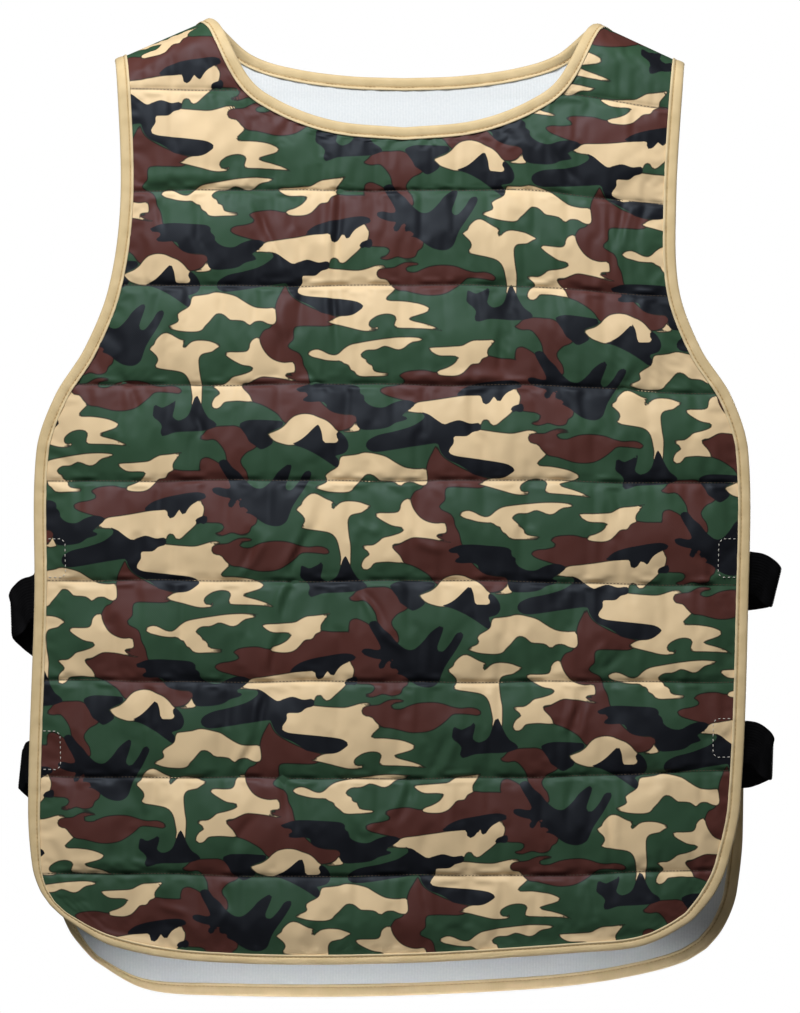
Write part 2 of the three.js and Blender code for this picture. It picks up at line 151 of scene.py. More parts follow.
def outwardAt(panel, x, down):  # normal of that surface from its own differences
    step = 0.5
    across = hangAt(panel, x + step, down) - hangAt(panel, x - step, down)
    below = hangAt(panel, x, down + step) - hangAt(panel, x, down - step)
    return unit(np.cross(across, below)) * drape["face"][panel]


def clothAt(panel, x, down, lift):  # the same surface lifted along its normal
    x, down = np.broadcast_arrays(np.asarray(x, float), np.asarray(down, float))
    return hangAt(panel, x, down) + outwardAt(panel, x, down) * np.asarray(lift, float)[..., None]


# Edges of a panel moved inwards by an inset: each curve is shifted by inset times its own slant
def sideAt(panel, down, side, inset=0.0):
    rows, column = cut["sides"][panel], 1 if side < 0 else 2
    slope = through(rows, down + 0.5, column) - through(rows, down - 0.5, column)
    return through(rows, down, column) - side * inset * np.hypot(1, slope)


def hemAt(panel, x, inset=0.0):
    rows = cut["hem"][panel]
    slope = through(rows, x + 0.5) - through(rows, x - 0.5)
    return through(rows, x) - inset * np.hypot(1, slope)


def neckAt(panel, fromMiddle, inset=0.0):
    rows = cut["neck"][panel]
    (r0, d0), (r1, d1) = rows[-2:]
    endSlope = (d1 - d0) / (r1 - r0)

    def curve(r):
        return through(rows, np.clip(r, 0, r1)) + endSlope * np.maximum(r - r1, 0)

    slope = curve(fromMiddle + 0.5) - curve(np.maximum(fromMiddle - 0.5, 0))
    return curve(fromMiddle) + inset * np.hypot(1, slope)


def neckEndAt(inset):  # half the neck at its seam, which it meets at a slant
    return drape["neckHalf"] + 1.11 * inset


def topAt(panel, x, inset=0.0, seamGap=0.0):
    fromMiddle = np.abs(x - drape["neckShift"])
    neckEnd = neckEndAt(inset)
    seam = shoulderDown(x) + seamGap
    pointLevel = shoulderDown(drape["neckShift"] + np.sign(x - drape["neckShift"]) * neckEnd) + seamGap
    return np.where(fromMiddle < neckEnd, np.maximum(neckAt(panel, fromMiddle, inset), pointLevel), seam)


# Quilting: level lines of stitches, a pad between them, and the grids that carry it
quilt = {
    "first": 68.0,  # cloth above the first line
    "pitch": 69.5,
    "lines": 9,
    "pressed": 1.4,  # lift of the outer cloth where it is stitched flat
    "inner": 0.3,  # lift of its inner side
    "crown": 3.4,  # rise of the pad between two lines when it isn't simulated
    "groove": 1.2,  # how deep the thread bites along a line
    "shoulder": 0.9,  # steep rise of the pad close to a line
    "shoulderReach": 4.0,
    "bite": 1.5,  # half width of the groove
    "loose": 14.0,  # the cloth is free to rumple this far from a line
    "inset": 3.0,  # raw edge inside the binding
    "seamGap": 0.15,  # half the gap along the shoulder seam
    "pressedEdge": 9.5,  # held flat up to here from the edge
    "freeEdge": 29.5,  # and free from here on
    "heldLine": 0.6,  # half width of what a line of stitches holds
    "columns": 232,
    "bands": (30, 40, 34),  # rows above the first line, in a channel, and below the last line
    "close": 0.2,  # how much closer the rows of a channel stand near its lines
    "coarse": 8,  # fine cells along one cell of the hidden inner face
    "shift": {  # how much lower each line was sewn than the pitch gives
        "front": (1, 3, 0.8, 1.2, -0.8, 0.3, 1.7, 0, -0.8),
        "back": (0, 1, -1, 0.5, 0, -1, 0.6, 1, 0),
    },
    "sag": {  # and how much lower it ends at the right
        "front": (14, 10, 8, 5.6, 1.5, 3.6, 0.5, -4, -2.5),
        "back": (-3, -4, -3, 0, 1, 2, 0, -1, 0),
    },
}


# Level of a quilting line at x, for a line number that may lie between two lines: the pitch, the shift and
# sag of that line, and a slight waver
def lineAt(panel, x, channel):
    number = np.arange(quilt["lines"])
    sag = np.interp(channel, number, quilt["sag"][panel]) * ramp(75, 205, x)
    waver = 0.45 * np.sin(x / 29 + 2.1 * channel) + 0.3 * np.sin(x / 12.7 + 3.7 * channel)
    shift = np.interp(channel, number, quilt["shift"][panel])
    return quilt["first"] + quilt["pitch"] * channel + shift + sag + waver


def channelAt(panel, x, down):  # the line number that belongs to a place, found by closing in on it
    channel = (down - quilt["first"]) / quilt["pitch"]
    for _ in range(5):
        channel = channel + (down - lineAt(panel, x, channel)) / quilt["pitch"]
    return channel


# Grid of a panel on its flat cloth. Its rows bend with the neck, follow the lines from the second to the
# last one and bend with the hem. Its columns fan out from the neck to the body. Where a line lies depends on
# x and the other way round, so both are found in three rounds.
def panelGrid(panel, inset, seamGap, columns, bands):
    neckRows, channelRows, hemRows = bands
    s = np.linspace(0, 1, columns + 1)
    neckEnd = neckEndAt(inset)
    tips = [sideAt(panel, np.float64(cut["sides"][panel][0][0]), side, inset) for side in (-1, 1)]
    shoulderColumns = round(columns * 0.135)
    knots = np.array([0, shoulderColumns, columns - shoulderColumns, columns]) / columns
    middle = drape["neckShift"]
    topX = np.interp(s, knots, [tips[0], middle - neckEnd, middle + neckEnd, tips[1]])
    top = topAt(panel, topX, inset, seamGap)
    corner = cut["sides"][panel][-1][0] - 0.7 * inset
    cornerX = [sideAt(panel, np.float64(corner), side, inset) for side in (-1, 1)]
    hem = hemAt(panel, mix(cornerX[0], cornerX[1], s), inset)

    def closer(share):
        return share - quilt["close"] * np.sin(2 * math.pi * share) / (2 * math.pi)

    def band(start, end, share):
        return start + (end - start) * share[:, None]

    second, last = neckRows + channelRows, neckRows + channelRows * (quilt["lines"] - 1)
    channel = closer((np.arange(second, last)[:, None] - neckRows) / channelRows)
    share = np.clip(np.arange(last + hemRows + 1) / second, 0, 1)
    fan = (1 - (1 - share) ** 2)[:, None]
    columnShare = mix((topX - tips[0]) / (tips[1] - tips[0]), s, fan)
    x = np.tile(topX, (len(share), 1))
    for _ in range(3):
        firstLine, neckLevel = lineAt(panel, x[neckRows], 0), lineAt(panel, x[second], 1)
        under = top + 0.22 * (neckLevel - top)  # the first line bends down under the neck
        bandEnd = firstLine + 3 * np.logaddexp(0, (under - firstLine) / 3)
        down = np.concatenate([
            band(top, bandEnd, np.arange(neckRows) / neckRows),
            band(bandEnd, neckLevel, closer(np.arange(channelRows) / channelRows)),
            lineAt(panel, x[second:last], channel),
            band(lineAt(panel, x[last], quilt["lines"] - 1), hem, np.arange(hemRows) / hemRows),
            hem[None, :],
        ])
        left, right = sideAt(panel, down[:, :1], -1, inset), sideAt(panel, down[:, -1:], 1, inset)
        x = mix(left, right, columnShare)
    return x, down


def lineRows(bands):  # rows of that grid that lie on the quilting lines
    return [bands[0] + bands[1] * k for k in range(quilt["lines"])]


def runOf(path):  # length along a path at each of its points
    return np.concatenate([[0], np.cumsum(np.linalg.norm(np.diff(path, axis=0), axis=1))])


def alongPath(at, run, values):  # values given along a path, at other lengths
    return np.stack([np.interp(at, run, values[:, k]) for k in range(values.shape[1])], -1)


def evenly(path, step):  # the same path with points at an even step along it
    run = runOf(path)
    return alongPath(np.linspace(0, run[-1], max(2, round(run[-1] / step) + 1)), run, path)


# Bound edge of a panel on the flat cloth, with its inward directions: down the left side, along the hem
# and up the right side, or along the neck from right to left. At the shoulders it turns along the seam.
def boundEdge(panel, edge, step):
    middle, half = drape["neckShift"], drape["neckHalf"]
    if edge == "outer":
        corner = cut["sides"][panel][-1][0]
        sides = []
        for side in (-1, 1):
            shoulder = shoulderDown(sideAt(panel, np.float64(cut["sides"][panel][0][0]), side))
            down = np.linspace(shoulder, corner, 400)
            sides.append(np.stack([sideAt(panel, down, side), down], 1))
        hemX = np.linspace(sides[0][-1, 0], sides[1][-1, 0], 400)
        path = np.concatenate([sides[0], np.stack([hemX, hemAt(panel, hemX)], 1)[1:-1], sides[1][::-1]])
    else:
        spread = np.sin(np.linspace(1, -1, 600) * math.pi / 2)
        across = middle + half * spread
        path = np.stack([across, topAt(panel, across)], 1)
        path[[0, -1], 1] = shoulderDown(across[[0, -1]])
    path = evenly(path, step)
    tangent = unit(np.gradient(path, axis=0))
    inward = np.stack([tangent[:, 1], -tangent[:, 0]], 1)
    reach = 14.0  # length of tape that turns along the seam
    for end, order in ((0, slice(None)), (-1, slice(None, None, -1))):
        towards = 1.0 if (path[end, 0] < middle) == (edge == "outer") else -1.0
        slant = shoulderDown(path[end, 0] + 0.5 * towards) - shoulderDown(path[end, 0] - 0.5 * towards)
        along = unit(np.array([towards, slant]))
        run = np.linalg.norm(path - path[end], axis=1)
        weight = 1 - ramp(0, reach, run)
        near = np.arange(len(path)) < len(path) // 2
        weight = np.where(near if end == 0 else ~near, weight, 0)[:, None]
        inward = unit(mix(inward, along, weight))
    return path, inward


def edgeDistance(panel, x, down):  # distance on the flat cloth to the nearest bound edge or seam
    step, seamPoints = 4, 24
    seams = [np.linspace(start, end, seamPoints) for start, end in drape["seams"]]
    edges = [boundEdge(panel, edge, step)[0] for edge in ("outer", "neck")]
    ring = np.concatenate(edges + [np.stack([seam, shoulderDown(seam)], 1) for seam in seams])
    rows = [
        np.sqrt((rowX[:, None] - ring[:, 0]) ** 2 + (rowDown[:, None] - ring[:, 1]) ** 2).min(1)
        for rowX, rowDown in zip(x, down)
    ]
    return np.array(rows)


# Meshes from arrays
def gridFaces(rows, columns, start=0, turned=False):
    a = start + (np.arange(rows - 1)[:, None] * columns + np.arange(columns - 1)).ravel()
    quads = np.stack([a, a + columns, a + columns + 1, a + 1], 1)
    return quads[:, ::-1] if turned else quads


def rimOf(rows, columns):  # indices round a grid: left side down, bottom, right side up, top
    at = np.arange(rows * columns).reshape(rows, columns)
    return np.concatenate([at[:-1, 0], at[-1, :-1], at[:0:-1, -1], at[0, :0:-1]])


def tubeFaces(sections, sides, closed):
    s = np.arange(sections if closed else sections - 1)[:, None]
    k = np.arange(sides)
    here, beyond, l = s * sides, (s + 1) % sections * sides, (k + 1) % sides
    return np.stack([here + k, here + l, beyond + l, beyond + k], -1).reshape(-1, 4)


def putMesh(name, points, faces, material, replaced=()):
    mesh = bpy.data.meshes.new(name)
    mesh.from_pydata((np.asarray(points) * mm).tolist(), [], faces)
    mesh.polygons.foreach_set("use_smooth", np.ones(len(mesh.polygons), bool))
    mesh.materials.append(material)
    mesh.update()
    piece = bpy.data.objects.new(name, mesh)
    bpy.context.scene.collection.objects.link(piece)
    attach(piece, "root")
    if replaced:
        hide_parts(*replaced)
    return piece


def putUv(piece, flat):  # a UV map in metres of cloth, one place for each point
    layer = piece.data.uv_layers.new(name="cloth")
    corner = np.zeros(len(piece.data.loops), np.int32)
    piece.data.loops.foreach_get("vertex_index", corner)
    layer.data.foreach_set("uv", (np.asarray(flat)[corner] * mm).astype(np.float32).ravel())


# Camouflage print: closed outlines charted in one repeat, in millimetres on the front panel.
# A point that is given twice is a corner. The layers lie on green in this order.
camo = {
    "repeatAcross": (106.5, 113.0),
    "repeatDown": (-10.5, 307.0),
    "repeats": (8, 4),  # copies to each side, across and down
    "reach": 8.0,  # distances beyond this aren't needed
    "backShift": (41.0, 66.0),  # the back is cut from another place of the cloth
    "green": (0.031, 0.075, 0.038),
    "brown": (0.088, 0.027, 0.020),
    "tan": (0.78, 0.592, 0.352),
    "black": (0.007, 0.0075, 0.0105),
    "line": (0.012, 0.009, 0.006),  # thin line round the printed shapes
    "sideShown": 5.0,  # more cloth that shows at 200 mm from the middle
    "upperRight": 9.0,  # how far the print lies to the left at the upper right
    "lowAcross": 3.5,  # and to the right above the hem
    "lowUp": 9.0,  # and how far it is pushed up above the hem
    "pulled": [
        (75, 20), (112, 14.5), (183, 11.4), (253, 10), (285, 8.5), (324, 6.8), (394, 3.5), (464, 1.4),
        (535, 0),
    ],
}
camoShapes = {
    "brown": [
        # fish
        [(-24, 503), (-21, 503), (-15, 502.5), (-11, 500.5), (-7, 499), (-2, 498.7), (2, 499.5), (2, 500.6),
         (-1, 501), (-5, 502), (-6.5, 504), (-4, 505.5), (1, 505.5), (5, 503.8), (10, 502), (17, 501),
         (24, 501), (30, 502), (36, 504), (42, 505), (49, 504.5), (54, 505.5), (57, 508), (55, 510),
         (50, 509.5), (43, 509), (37, 509.5), (33, 513), (28, 517), (22, 520.5), (15, 522), (7, 522),
         (0, 520.5), (-6, 519), (-13, 518), (-18, 513.5), (-22, 512), (-27, 510), (-28, 506)],
        # spine
        [(-81, 208), (-84, 213), (-86.5, 218), (-88, 224), (-88, 231), (-91, 237.5), (-96, 240), (-99, 245),
         (-101, 252), (-98, 260), (-90, 266), (-80, 268), (-76, 272), (-72, 278), (-64, 279), (-64.3, 273),
         (-65.5, 268.5), (-68, 264), (-68.8, 259.5), (-71, 256), (-74, 254.5), (-77.5, 252.8), (-79, 251),
         (-77.8, 249), (-75, 246), (-75, 241), (-74, 237.8), (-70, 236.8), (-60, 237), (-50, 237),
         (-45, 234.5), (-42, 231), (-52, 228), (-62, 224), (-70, 220), (-76, 216), (-79, 212)],
        # field
        [(-112, 279), (-107, 277), (-102, 274.3), (-97, 272), (-90, 271), (-80, 271), (-70, 273), (-64, 276),
         (-60, 284), (-54, 292), (-47, 297), (-40, 298.8), (-33, 299.3), (-30.3, 301.5), (-30.5, 304.5),
         (-34, 308), (-40, 310.3), (-46, 310), (-56, 306), (-70, 304), (-79, 305.5), (-82.5, 303.5),
         (-86, 299), (-92, 295), (-98, 292), (-104, 290), (-110, 286)],
        # plain
        [(-131, 476), (-127, 473.5), (-120, 472.5), (-114, 470.5), (-114.5, 468), (-117.5, 466),
         (-114, 463.5), (-108, 462.3), (-100, 462), (-92, 463.5), (-84, 462), (-74, 458), (-64, 452),
         (-56, 450.5), (-48, 451.3), (-36, 451.3), (-36, 451.3), (-35.6, 446), (-34.5, 443.3), (-31, 442),
         (-27, 443.3), (-22, 446), (-14, 452), (-5, 460), (2, 470), (6, 480), (5.5, 488), (2, 491), (0, 495),
         (-6, 496.3), (-12, 495), (-16, 496.3), (-20, 497.3), (-24, 496.5), (-24, 495.3), (-20, 494),
         (-17.7, 490.5), (-21, 488.3), (-28, 488), (-34, 487), (-42, 482), (-60, 484), (-80, 484),
         (-100, 486), (-110, 484), (-120, 481.5), (-128, 479)],
        # hook
        [(-36, 428.5), (-33, 425.5), (-30, 422.5), (-24, 420.5), (-15, 420), (-10, 420), (-5, 422),
         (-1, 427), (2, 431), (5, 432.5), (6, 434), (3, 436.5), (-2, 439), (-6, 444), (-5, 448), (-2, 452),
         (-1, 458), (-4, 459), (-9, 455), (-14, 449), (-16, 444), (-17, 439), (-20, 434), (-24, 430),
         (-27, 429.5), (-31, 430)],
    ],
    "tan": [
        # hand
        [(-81, 507), (-72, 505.5), (-64, 503), (-58, 503.3), (-50, 504), (-40, 504.5), (-34, 503.3),
         (-27, 501.3), (-22, 501.3), (-20.5, 503), (-20.5, 503), (-25, 504), (-26.8, 507), (-25, 510),
         (-20, 511), (-17, 514.5), (-13.5, 517.7), (-13.5, 517.7), (-16, 520), (-20, 524), (-18.5, 525.8),
         (-10, 526), (0, 527.3), (6, 529), (10.3, 531.5), (8, 534.3), (2, 536.3), (-4, 538.3), (-2, 540),
         (6, 542), (13, 544.3), (18, 547), (18, 547), (8, 546), (-2, 545.6), (-12, 545.3), (-14.5, 544),
         (-14, 541), (-13.2, 538.5), (-15, 536.3), (-20, 535.5), (-26, 536.8), (-31, 540), (-32.3, 542.8),
         (-31, 545), (-28, 545.3), (-25.7, 544.2), (-25.7, 545.6), (-28, 547.3), (-36, 547.5), (-45, 545.5),
         (-55, 543), (-61.5, 541.5), (-61.5, 541.5), (-56, 538), (-52, 536.8), (-44, 535.5), (-39, 531),
         (-45, 528), (-60, 526), (-80, 524), (-84, 519), (-82, 512)],
        # swallow
        [(-65, 256), (-62, 253.8), (-58, 253.2), (-54, 254.5), (-50, 256.5), (-46, 257.2), (-43, 256),
         (-39, 252.5), (-34, 249.8), (-25, 248), (-15, 246.5), (-5, 245.2), (5, 244.7), (12, 245),
         (17, 245.5), (17, 245.5), (14, 247.5), (9, 248.5), (6, 250), (3, 252.5), (0, 253.7), (-3, 253.5),
         (-7, 252), (-11, 251.2), (-15, 253), (-18, 253.8), (-23, 254), (-26, 255.5), (-27.5, 257.5),
         (-26, 259.3), (-23.5, 260.5), (-23, 263), (-19.5, 264.5), (-18.5, 268), (-15, 269.3), (-9, 270),
         (-8, 271), (-11, 272), (-20, 272.3), (-26, 272.5), (-30, 271.5), (-32, 269), (-35, 267.5),
         (-36, 264.5), (-39, 263.5), (-42, 261.5), (-46, 261.5), (-52, 261), (-57, 259.8), (-62, 258.5)],
        # leaf
        [(9.5, 560), (13, 559), (20, 558.7), (27, 558.2), (33, 557.5), (37, 555.3), (41, 553.5), (46, 553),
         (52, 552.3), (57.5, 551.3), (57.5, 551.3), (54.5, 555), (51.5, 559), (51, 562), (51.5, 564),
         (47.5, 566), (45, 569.5), (40, 570.3), (36.5, 574), (33, 577.3), (28, 579), (21, 579),
         (16.5, 578.2), (15.3, 576.8), (17, 575), (22, 573.3), (27, 570.5), (30, 567), (30.2, 565.6),
         (26, 565), (18, 565), (13.5, 563.5)],
        # bird
        [(0.5, 362), (3, 359), (7, 358), (8, 361.5), (10, 366), (14, 371), (19, 374), (25, 375.3), (31, 375),
         (32.5, 378), (32.5, 382), (31, 382.5), (27, 383), (25.5, 384.5), (28, 386), (32, 387.5),
         (35.5, 388.5), (35.5, 388.5), (30, 388), (22, 386.5), (15, 385.7), (9, 385.5), (4, 387.5),
         (0, 389.5), (-4, 390), (-5.5, 391.5), (-4, 394), (0, 398), (2.5, 403), (2.5, 403), (-2, 403),
         (-8, 402.5), (-14, 402.8), (-18, 403.5), (-20.5, 406.5), (-23.5, 408), (-26.5, 407), (-27, 404),
         (-25, 400), (-21.5, 397), (-24, 394), (-27, 392), (-24, 390.8), (-19, 390.5), (-15, 388),
         (-12, 385.5), (-6, 384), (0, 382), (2.5, 380), (1, 378.3), (-5, 377.3), (-10, 375), (-15, 372),
         (-17.5, 369.5), (-15, 368), (-8, 368), (-2, 367.5), (0, 365)],
        # arch
        [(-93, 313), (-90, 311.5), (-85, 309.5), (-81, 306.5), (-78, 303), (-74, 300), (-68, 298.5),
         (-62, 299), (-57, 301), (-52, 303), (-48, 306), (-45, 309.5), (-43, 311), (-43, 314), (-43, 317),
         (-44.5, 319), (-49, 320), (-58, 320), (-66, 320), (-77, 320.8), (-82, 320), (-88, 318),
         (-91, 315.5)],
        # whale
        [(-52.5, 342), (-50, 339.5), (-45, 336.5), (-43, 334), (-42.5, 331), (-41, 328.5), (-36, 327.8),
         (-30, 327), (-26, 325.8), (-22, 325.7), (-16, 326.8), (-10, 328.5), (-5, 331.5), (0, 334.5),
         (5, 336.5), (12, 337.2), (18, 337), (19, 340), (19.5, 345), (19, 347.5), (17, 349), (13, 348.3),
         (9, 346.5), (4, 346.8), (1, 349), (-1, 348.8), (-4, 346.5), (-9, 345.8), (-14, 345.5), (-17, 343),
         (-20, 341.2), (-23.5, 341.2), (-26, 343.5), (-29, 347), (-32, 350), (-34, 352.5), (-38, 353.8),
         (-45, 353.8), (-52, 353), (-57, 351.5), (-59.5, 350.2), (-56, 348.5), (-52, 346.5), (-51.5, 344.5)],
        # tree
        [(-63, 354.8), (-66, 357), (-68.5, 360), (-69.5, 362.5), (-73, 365.5), (-70.5, 368), (-67.5, 371),
         (-66.8, 374), (-69, 378), (-66.5, 379.3), (-61, 380.2), (-55, 381), (-50, 382), (-46.5, 384),
         (-44, 388), (-42.5, 394), (-41.5, 400), (-41.8, 405), (-38, 407), (-35, 405), (-34.5, 398),
         (-34.5, 391), (-35.5, 385), (-36.3, 378), (-36.3, 373), (-34.5, 370), (-31, 368.8), (-27, 368),
         (-24, 366), (-20.5, 363.5), (-24, 362), (-29, 360.3), (-36, 359.7), (-41, 360.5), (-44, 362.5),
         (-46.5, 365), (-48, 364.5), (-47.5, 361.8), (-46.5, 360), (-50, 359), (-54, 357), (-57, 355.3),
         (-60, 354.3)],
        # duck
        [(-115.5, 492.3), (-115.5, 492.3), (-111, 489.5), (-106.5, 485.5), (-103, 484), (-95, 483),
         (-85, 481.5), (-76, 480), (-67, 478.5), (-58, 477), (-48, 476), (-40, 474), (-37, 472.3),
         (-35, 471.8), (-34, 474.5), (-32.3, 477), (-32.5, 481), (-34, 485), (-37, 487.5), (-38.5, 489.5),
         (-41, 492), (-45, 495.5), (-49, 499), (-52, 499.7), (-54, 498), (-54.5, 496.5), (-57, 495.8),
         (-59, 497), (-60.5, 500), (-64, 500), (-68, 500), (-73, 499), (-78, 499), (-82, 499), (-86, 501),
         (-89, 499), (-93, 496.5), (-97, 493.5), (-102, 492), (-105, 492), (-110, 491.5)],
        # fin
        [(-40, 311), (-36, 309.5), (-33, 307), (-30.5, 303.5), (-29.5, 307), (-27.5, 310), (-31, 311.2),
         (-36, 311.5)],
    ],
    "black": [
        # sausage
        [(-103, 491), (-97, 493), (-92, 496.5), (-86, 500), (-80, 498), (-75, 497), (-68, 499), (-62, 498.3),
         (-60, 500), (-61, 503.5), (-66, 505), (-70, 508), (-76, 508.3), (-79.3, 508.8), (-79.3, 513),
         (-82, 517), (-82.5, 520), (-78, 522), (-70, 523), (-55, 524.5), (-43, 526), (-38, 528),
         (-36.3, 530.3), (-39, 533), (-44, 536), (-50, 537), (-58, 536), (-66, 534.5), (-70, 531.5),
         (-76, 528), (-83, 525), (-87, 521.5), (-89.5, 517), (-91, 513.5), (-100, 514.5), (-110, 516),
         (-122, 518), (-134, 519.5), (-139, 518), (-141, 515), (-139, 511), (-132, 507.5), (-122, 505.3),
         (-112, 502.5), (-106, 500), (-100.5, 496), (-100, 493.5)],
        # lobes
        [(-73, 281), (-70, 279.5), (-64, 277.5), (-55, 277), (-45, 277.5), (-35, 278), (-30, 279),
         (-28, 281), (-28, 284), (-25, 286), (-25, 289), (-22, 292), (-17, 294), (-11, 294), (-5, 291),
         (2, 289), (8, 289.5), (10.5, 292), (6, 296), (1, 299.5), (5, 301), (4, 303), (-3, 305), (-8, 308),
         (-15, 309.5), (-25, 310), (-29, 308.5), (-30.5, 305), (-30.5, 301), (-34, 299), (-42, 298.5),
         (-47, 297.5), (-51, 295), (-52, 291.5), (-56, 290), (-63, 290.3), (-68, 289.5), (-67.5, 287.5),
         (-65, 286), (-66, 283.5), (-71, 283)],
        # wing
        [(-7, 419.5), (-5, 417.5), (0, 416), (8, 415.8), (18, 416.3), (24, 417), (23.5, 420.5), (16, 424),
         (13, 426), (15, 428.5), (17.5, 430.5), (16, 433), (11, 436), (8, 436.5), (5, 434.5), (3, 433),
         (0, 431), (-2, 427), (-5, 423)],
        # under the arch
        [(-57.5, 306.3), (-55.8, 309), (-54.8, 312), (-54.2, 316), (-53.3, 318.8), (-49, 319),
         (-44.5, 318.8), (-43.2, 317), (-44.8, 314), (-43.3, 311), (-40, 313), (-37, 317), (-36, 321.5),
         (-38, 325.5), (-42, 327.3), (-45.5, 328.3), (-43, 331), (-44, 336.3), (-49, 333.5), (-55, 329.5),
         (-62, 325.5), (-70, 322), (-77, 320.3), (-73, 318.6), (-69, 316.3), (-65, 313), (-61, 309)],
        # claw
        [(-22, 446), (-20, 444), (-17, 443.5), (-15, 445), (-12, 449), (-7, 453), (-3, 458), (3, 463),
         (8, 464), (12, 462), (17, 457), (20, 453), (24, 449.5), (28, 447), (30, 447.5), (30, 450),
         (28, 456), (26, 462), (27, 465), (30, 465), (33, 462), (36, 458), (39, 453), (42, 451.5), (44, 452),
         (44, 455), (41, 461), (38, 466), (34, 472), (31, 477), (29, 482), (27, 487), (23, 490), (18, 490.5),
         (12, 489), (7, 486), (4, 483.5), (0, 481.5), (-3, 481), (-1, 479), (-4, 477), (-7, 477.5),
         (-7, 474), (-5, 471), (-9, 472.5), (-11, 476), (-13, 477.5), (-15, 476.5), (-15, 474), (-13, 471),
         (-18, 470), (-24, 468), (-27, 465.5), (-26, 463.5), (-22, 463), (-17, 464), (-13.5, 463),
         (-16, 457), (-19, 452)],
        # crown
        [(-70, 409.5), (-69, 405), (-64, 407), (-61, 406), (-57, 404), (-54, 401.5), (-54, 405.5),
         (-55, 410), (-55.5, 413.5), (-52, 416), (-49, 415.5), (-46, 414), (-43.5, 411), (-41.5, 405),
         (-40, 400.5), (-38.3, 398.3), (-36.5, 401), (-34.5, 405.5), (-32, 410.5), (-29, 414.5), (-25, 417),
         (-23, 420), (-26, 421.5), (-31, 423), (-38, 423.7), (-46, 424), (-54, 424.5), (-60, 426.5),
         (-63.5, 427), (-64.5, 424), (-63.5, 420), (-66, 416.5), (-70, 413.5)],
        # minnow
        [(-77, 479.7), (-75, 476.5), (-70, 473), (-62, 470.3), (-53, 468.5), (-44, 467), (-37, 466.5),
         (-32.5, 467.5), (-31, 469), (-32, 471), (-35, 472), (-38, 473.3), (-42, 476), (-44.5, 479),
         (-46, 481.5), (-48, 482.3), (-49.5, 480.5), (-50, 478.5), (-52, 480.5), (-54, 483.5), (-57, 485),
         (-59, 483.5), (-59.5, 480.5), (-60.5, 479), (-66, 479.3)],
        # beak
        [(-34, 483.5), (-31.5, 482.5), (-30, 484), (-30, 487), (-32, 489), (-35, 488.3), (-37.5, 489.3),
         (-39, 487.5), (-37.5, 485)],
    ],
}


# Closed smooth curve through an outline's points: each span is a cubic on its two points and their neighbours
def smoothLoop(points, steps=4):
    p = np.array(points, float)
    a, b, c, d = (np.roll(p, shift, 0)[:, None, :] for shift in (1, 0, -1, -2))
    t = np.linspace(0, 1, steps, endpoint=False)[None, :, None]
    curve = 2 * b + (c - a) * t + (2 * a - 5 * b + 4 * c - d) * t**2 + (3 * b - a - 3 * c + d) * t**3
    return curve.reshape(-1, 2) / 2


# Signed distance to a closed curve, positive inside: the least distance to its spans, and the sign from
# how many spans a line to the right crosses
def loopDistance(places, curve):
    a, b = curve, np.roll(curve, -1, 0)
    span = b - a
    square = np.maximum((span**2).sum(1), 1e-9)
    fromA = places[:, None, :] - a
    t = np.clip((fromA * span).sum(2) / square, 0, 1)
    gap = np.sqrt(((fromA - t[..., None] * span) ** 2).sum(2)).min(1)
    above = (a[:, 1] > places[:, 1:]) != (b[:, 1] > places[:, 1:])
    rise = np.where(np.abs(span[:, 1]) < 1e-9, 1e-9, span[:, 1])
    crossing = a[:, 0] + (places[:, 1:] - a[:, 1]) * span[:, 0] / rise
    inside = (above & (places[:, :1] < crossing)).sum(1) % 2 == 1
    return np.where(inside, gap, -gap)


# Where the print lies: the cloth at the sides turns away, so more of it shows there. At the upper right it
# was pulled down when it was sewn, by lengths given for levels, and above the hem it was pushed up.
def printPlace(panel, x, down):
    if panel == "back":
        return np.stack([camo["backShift"][0] - x, down + camo["backShift"][1]], -1)
    sideways = camo["sideShown"] * (x / 200) ** 3
    sideways = sideways - camo["upperRight"] * ramp(90, 170, x) * (1 - ramp(70, 130, down))
    sideways = sideways + camo["lowAcross"] * ramp(580, 650, down)
    level, length = np.array(camo["pulled"], float).T
    pulled = np.interp(down, level, length) * ramp(30, 170, x) - camo["lowUp"] * ramp(560, 700, down)
    return np.stack([x + sideways, down - pulled], -1)


def camoPrint(panel, x, down):  # for each point, its distance into the brown, the tan and the black print
    places = printPlace(panel, x, down).reshape(-1, 2)
    low, high = places.min(0), places.max(0)
    across, below = np.array(camo["repeatAcross"]), np.array(camo["repeatDown"])
    reach, (sideways, upright) = camo["reach"], camo["repeats"]
    layers = []
    for layer in ("brown", "tan", "black"):
        depth = np.full(len(places), -reach)
        for outline in camoShapes[layer]:
            loop = smoothLoop(outline)
            for i in range(-sideways, sideways + 1):
                for j in range(-upright, upright + 1):
                    curve = loop + i * across + j * below
                    least, most = curve.min(0) - reach, curve.max(0) + reach
                    if np.any(most < low) or np.any(least > high):
                        continue
                    near = np.nonzero(np.all((places > least) & (places < most), 1))[0]
                    if len(near):
                        depth[near] = np.maximum(depth[near], loopDistance(places[near], curve))
        layers.append(depth)
    return np.stack(layers, 1)


# Materials
def blankMaterial(name, **values):
    material = bpy.data.materials.new(name)
    material.use_nodes = True
    shader = material.node_tree.nodes["Principled BSDF"]
    for socket, value in values.items():
        shader.inputs[socket.replace("_", " ")].default_value = value
    return material, material.node_tree, shader


def addNode(tree, kind, inputs=None, **settings):
    node = tree.nodes.new(kind)
    for key, value in settings.items():
        setattr(node, key, value)
    for socket, value in (inputs or {}).items():
        if isinstance(value, bpy.types.NodeSocket):
            tree.links.new(value, node.inputs[socket])
        else:
            node.inputs[socket].default_value = value
    return node


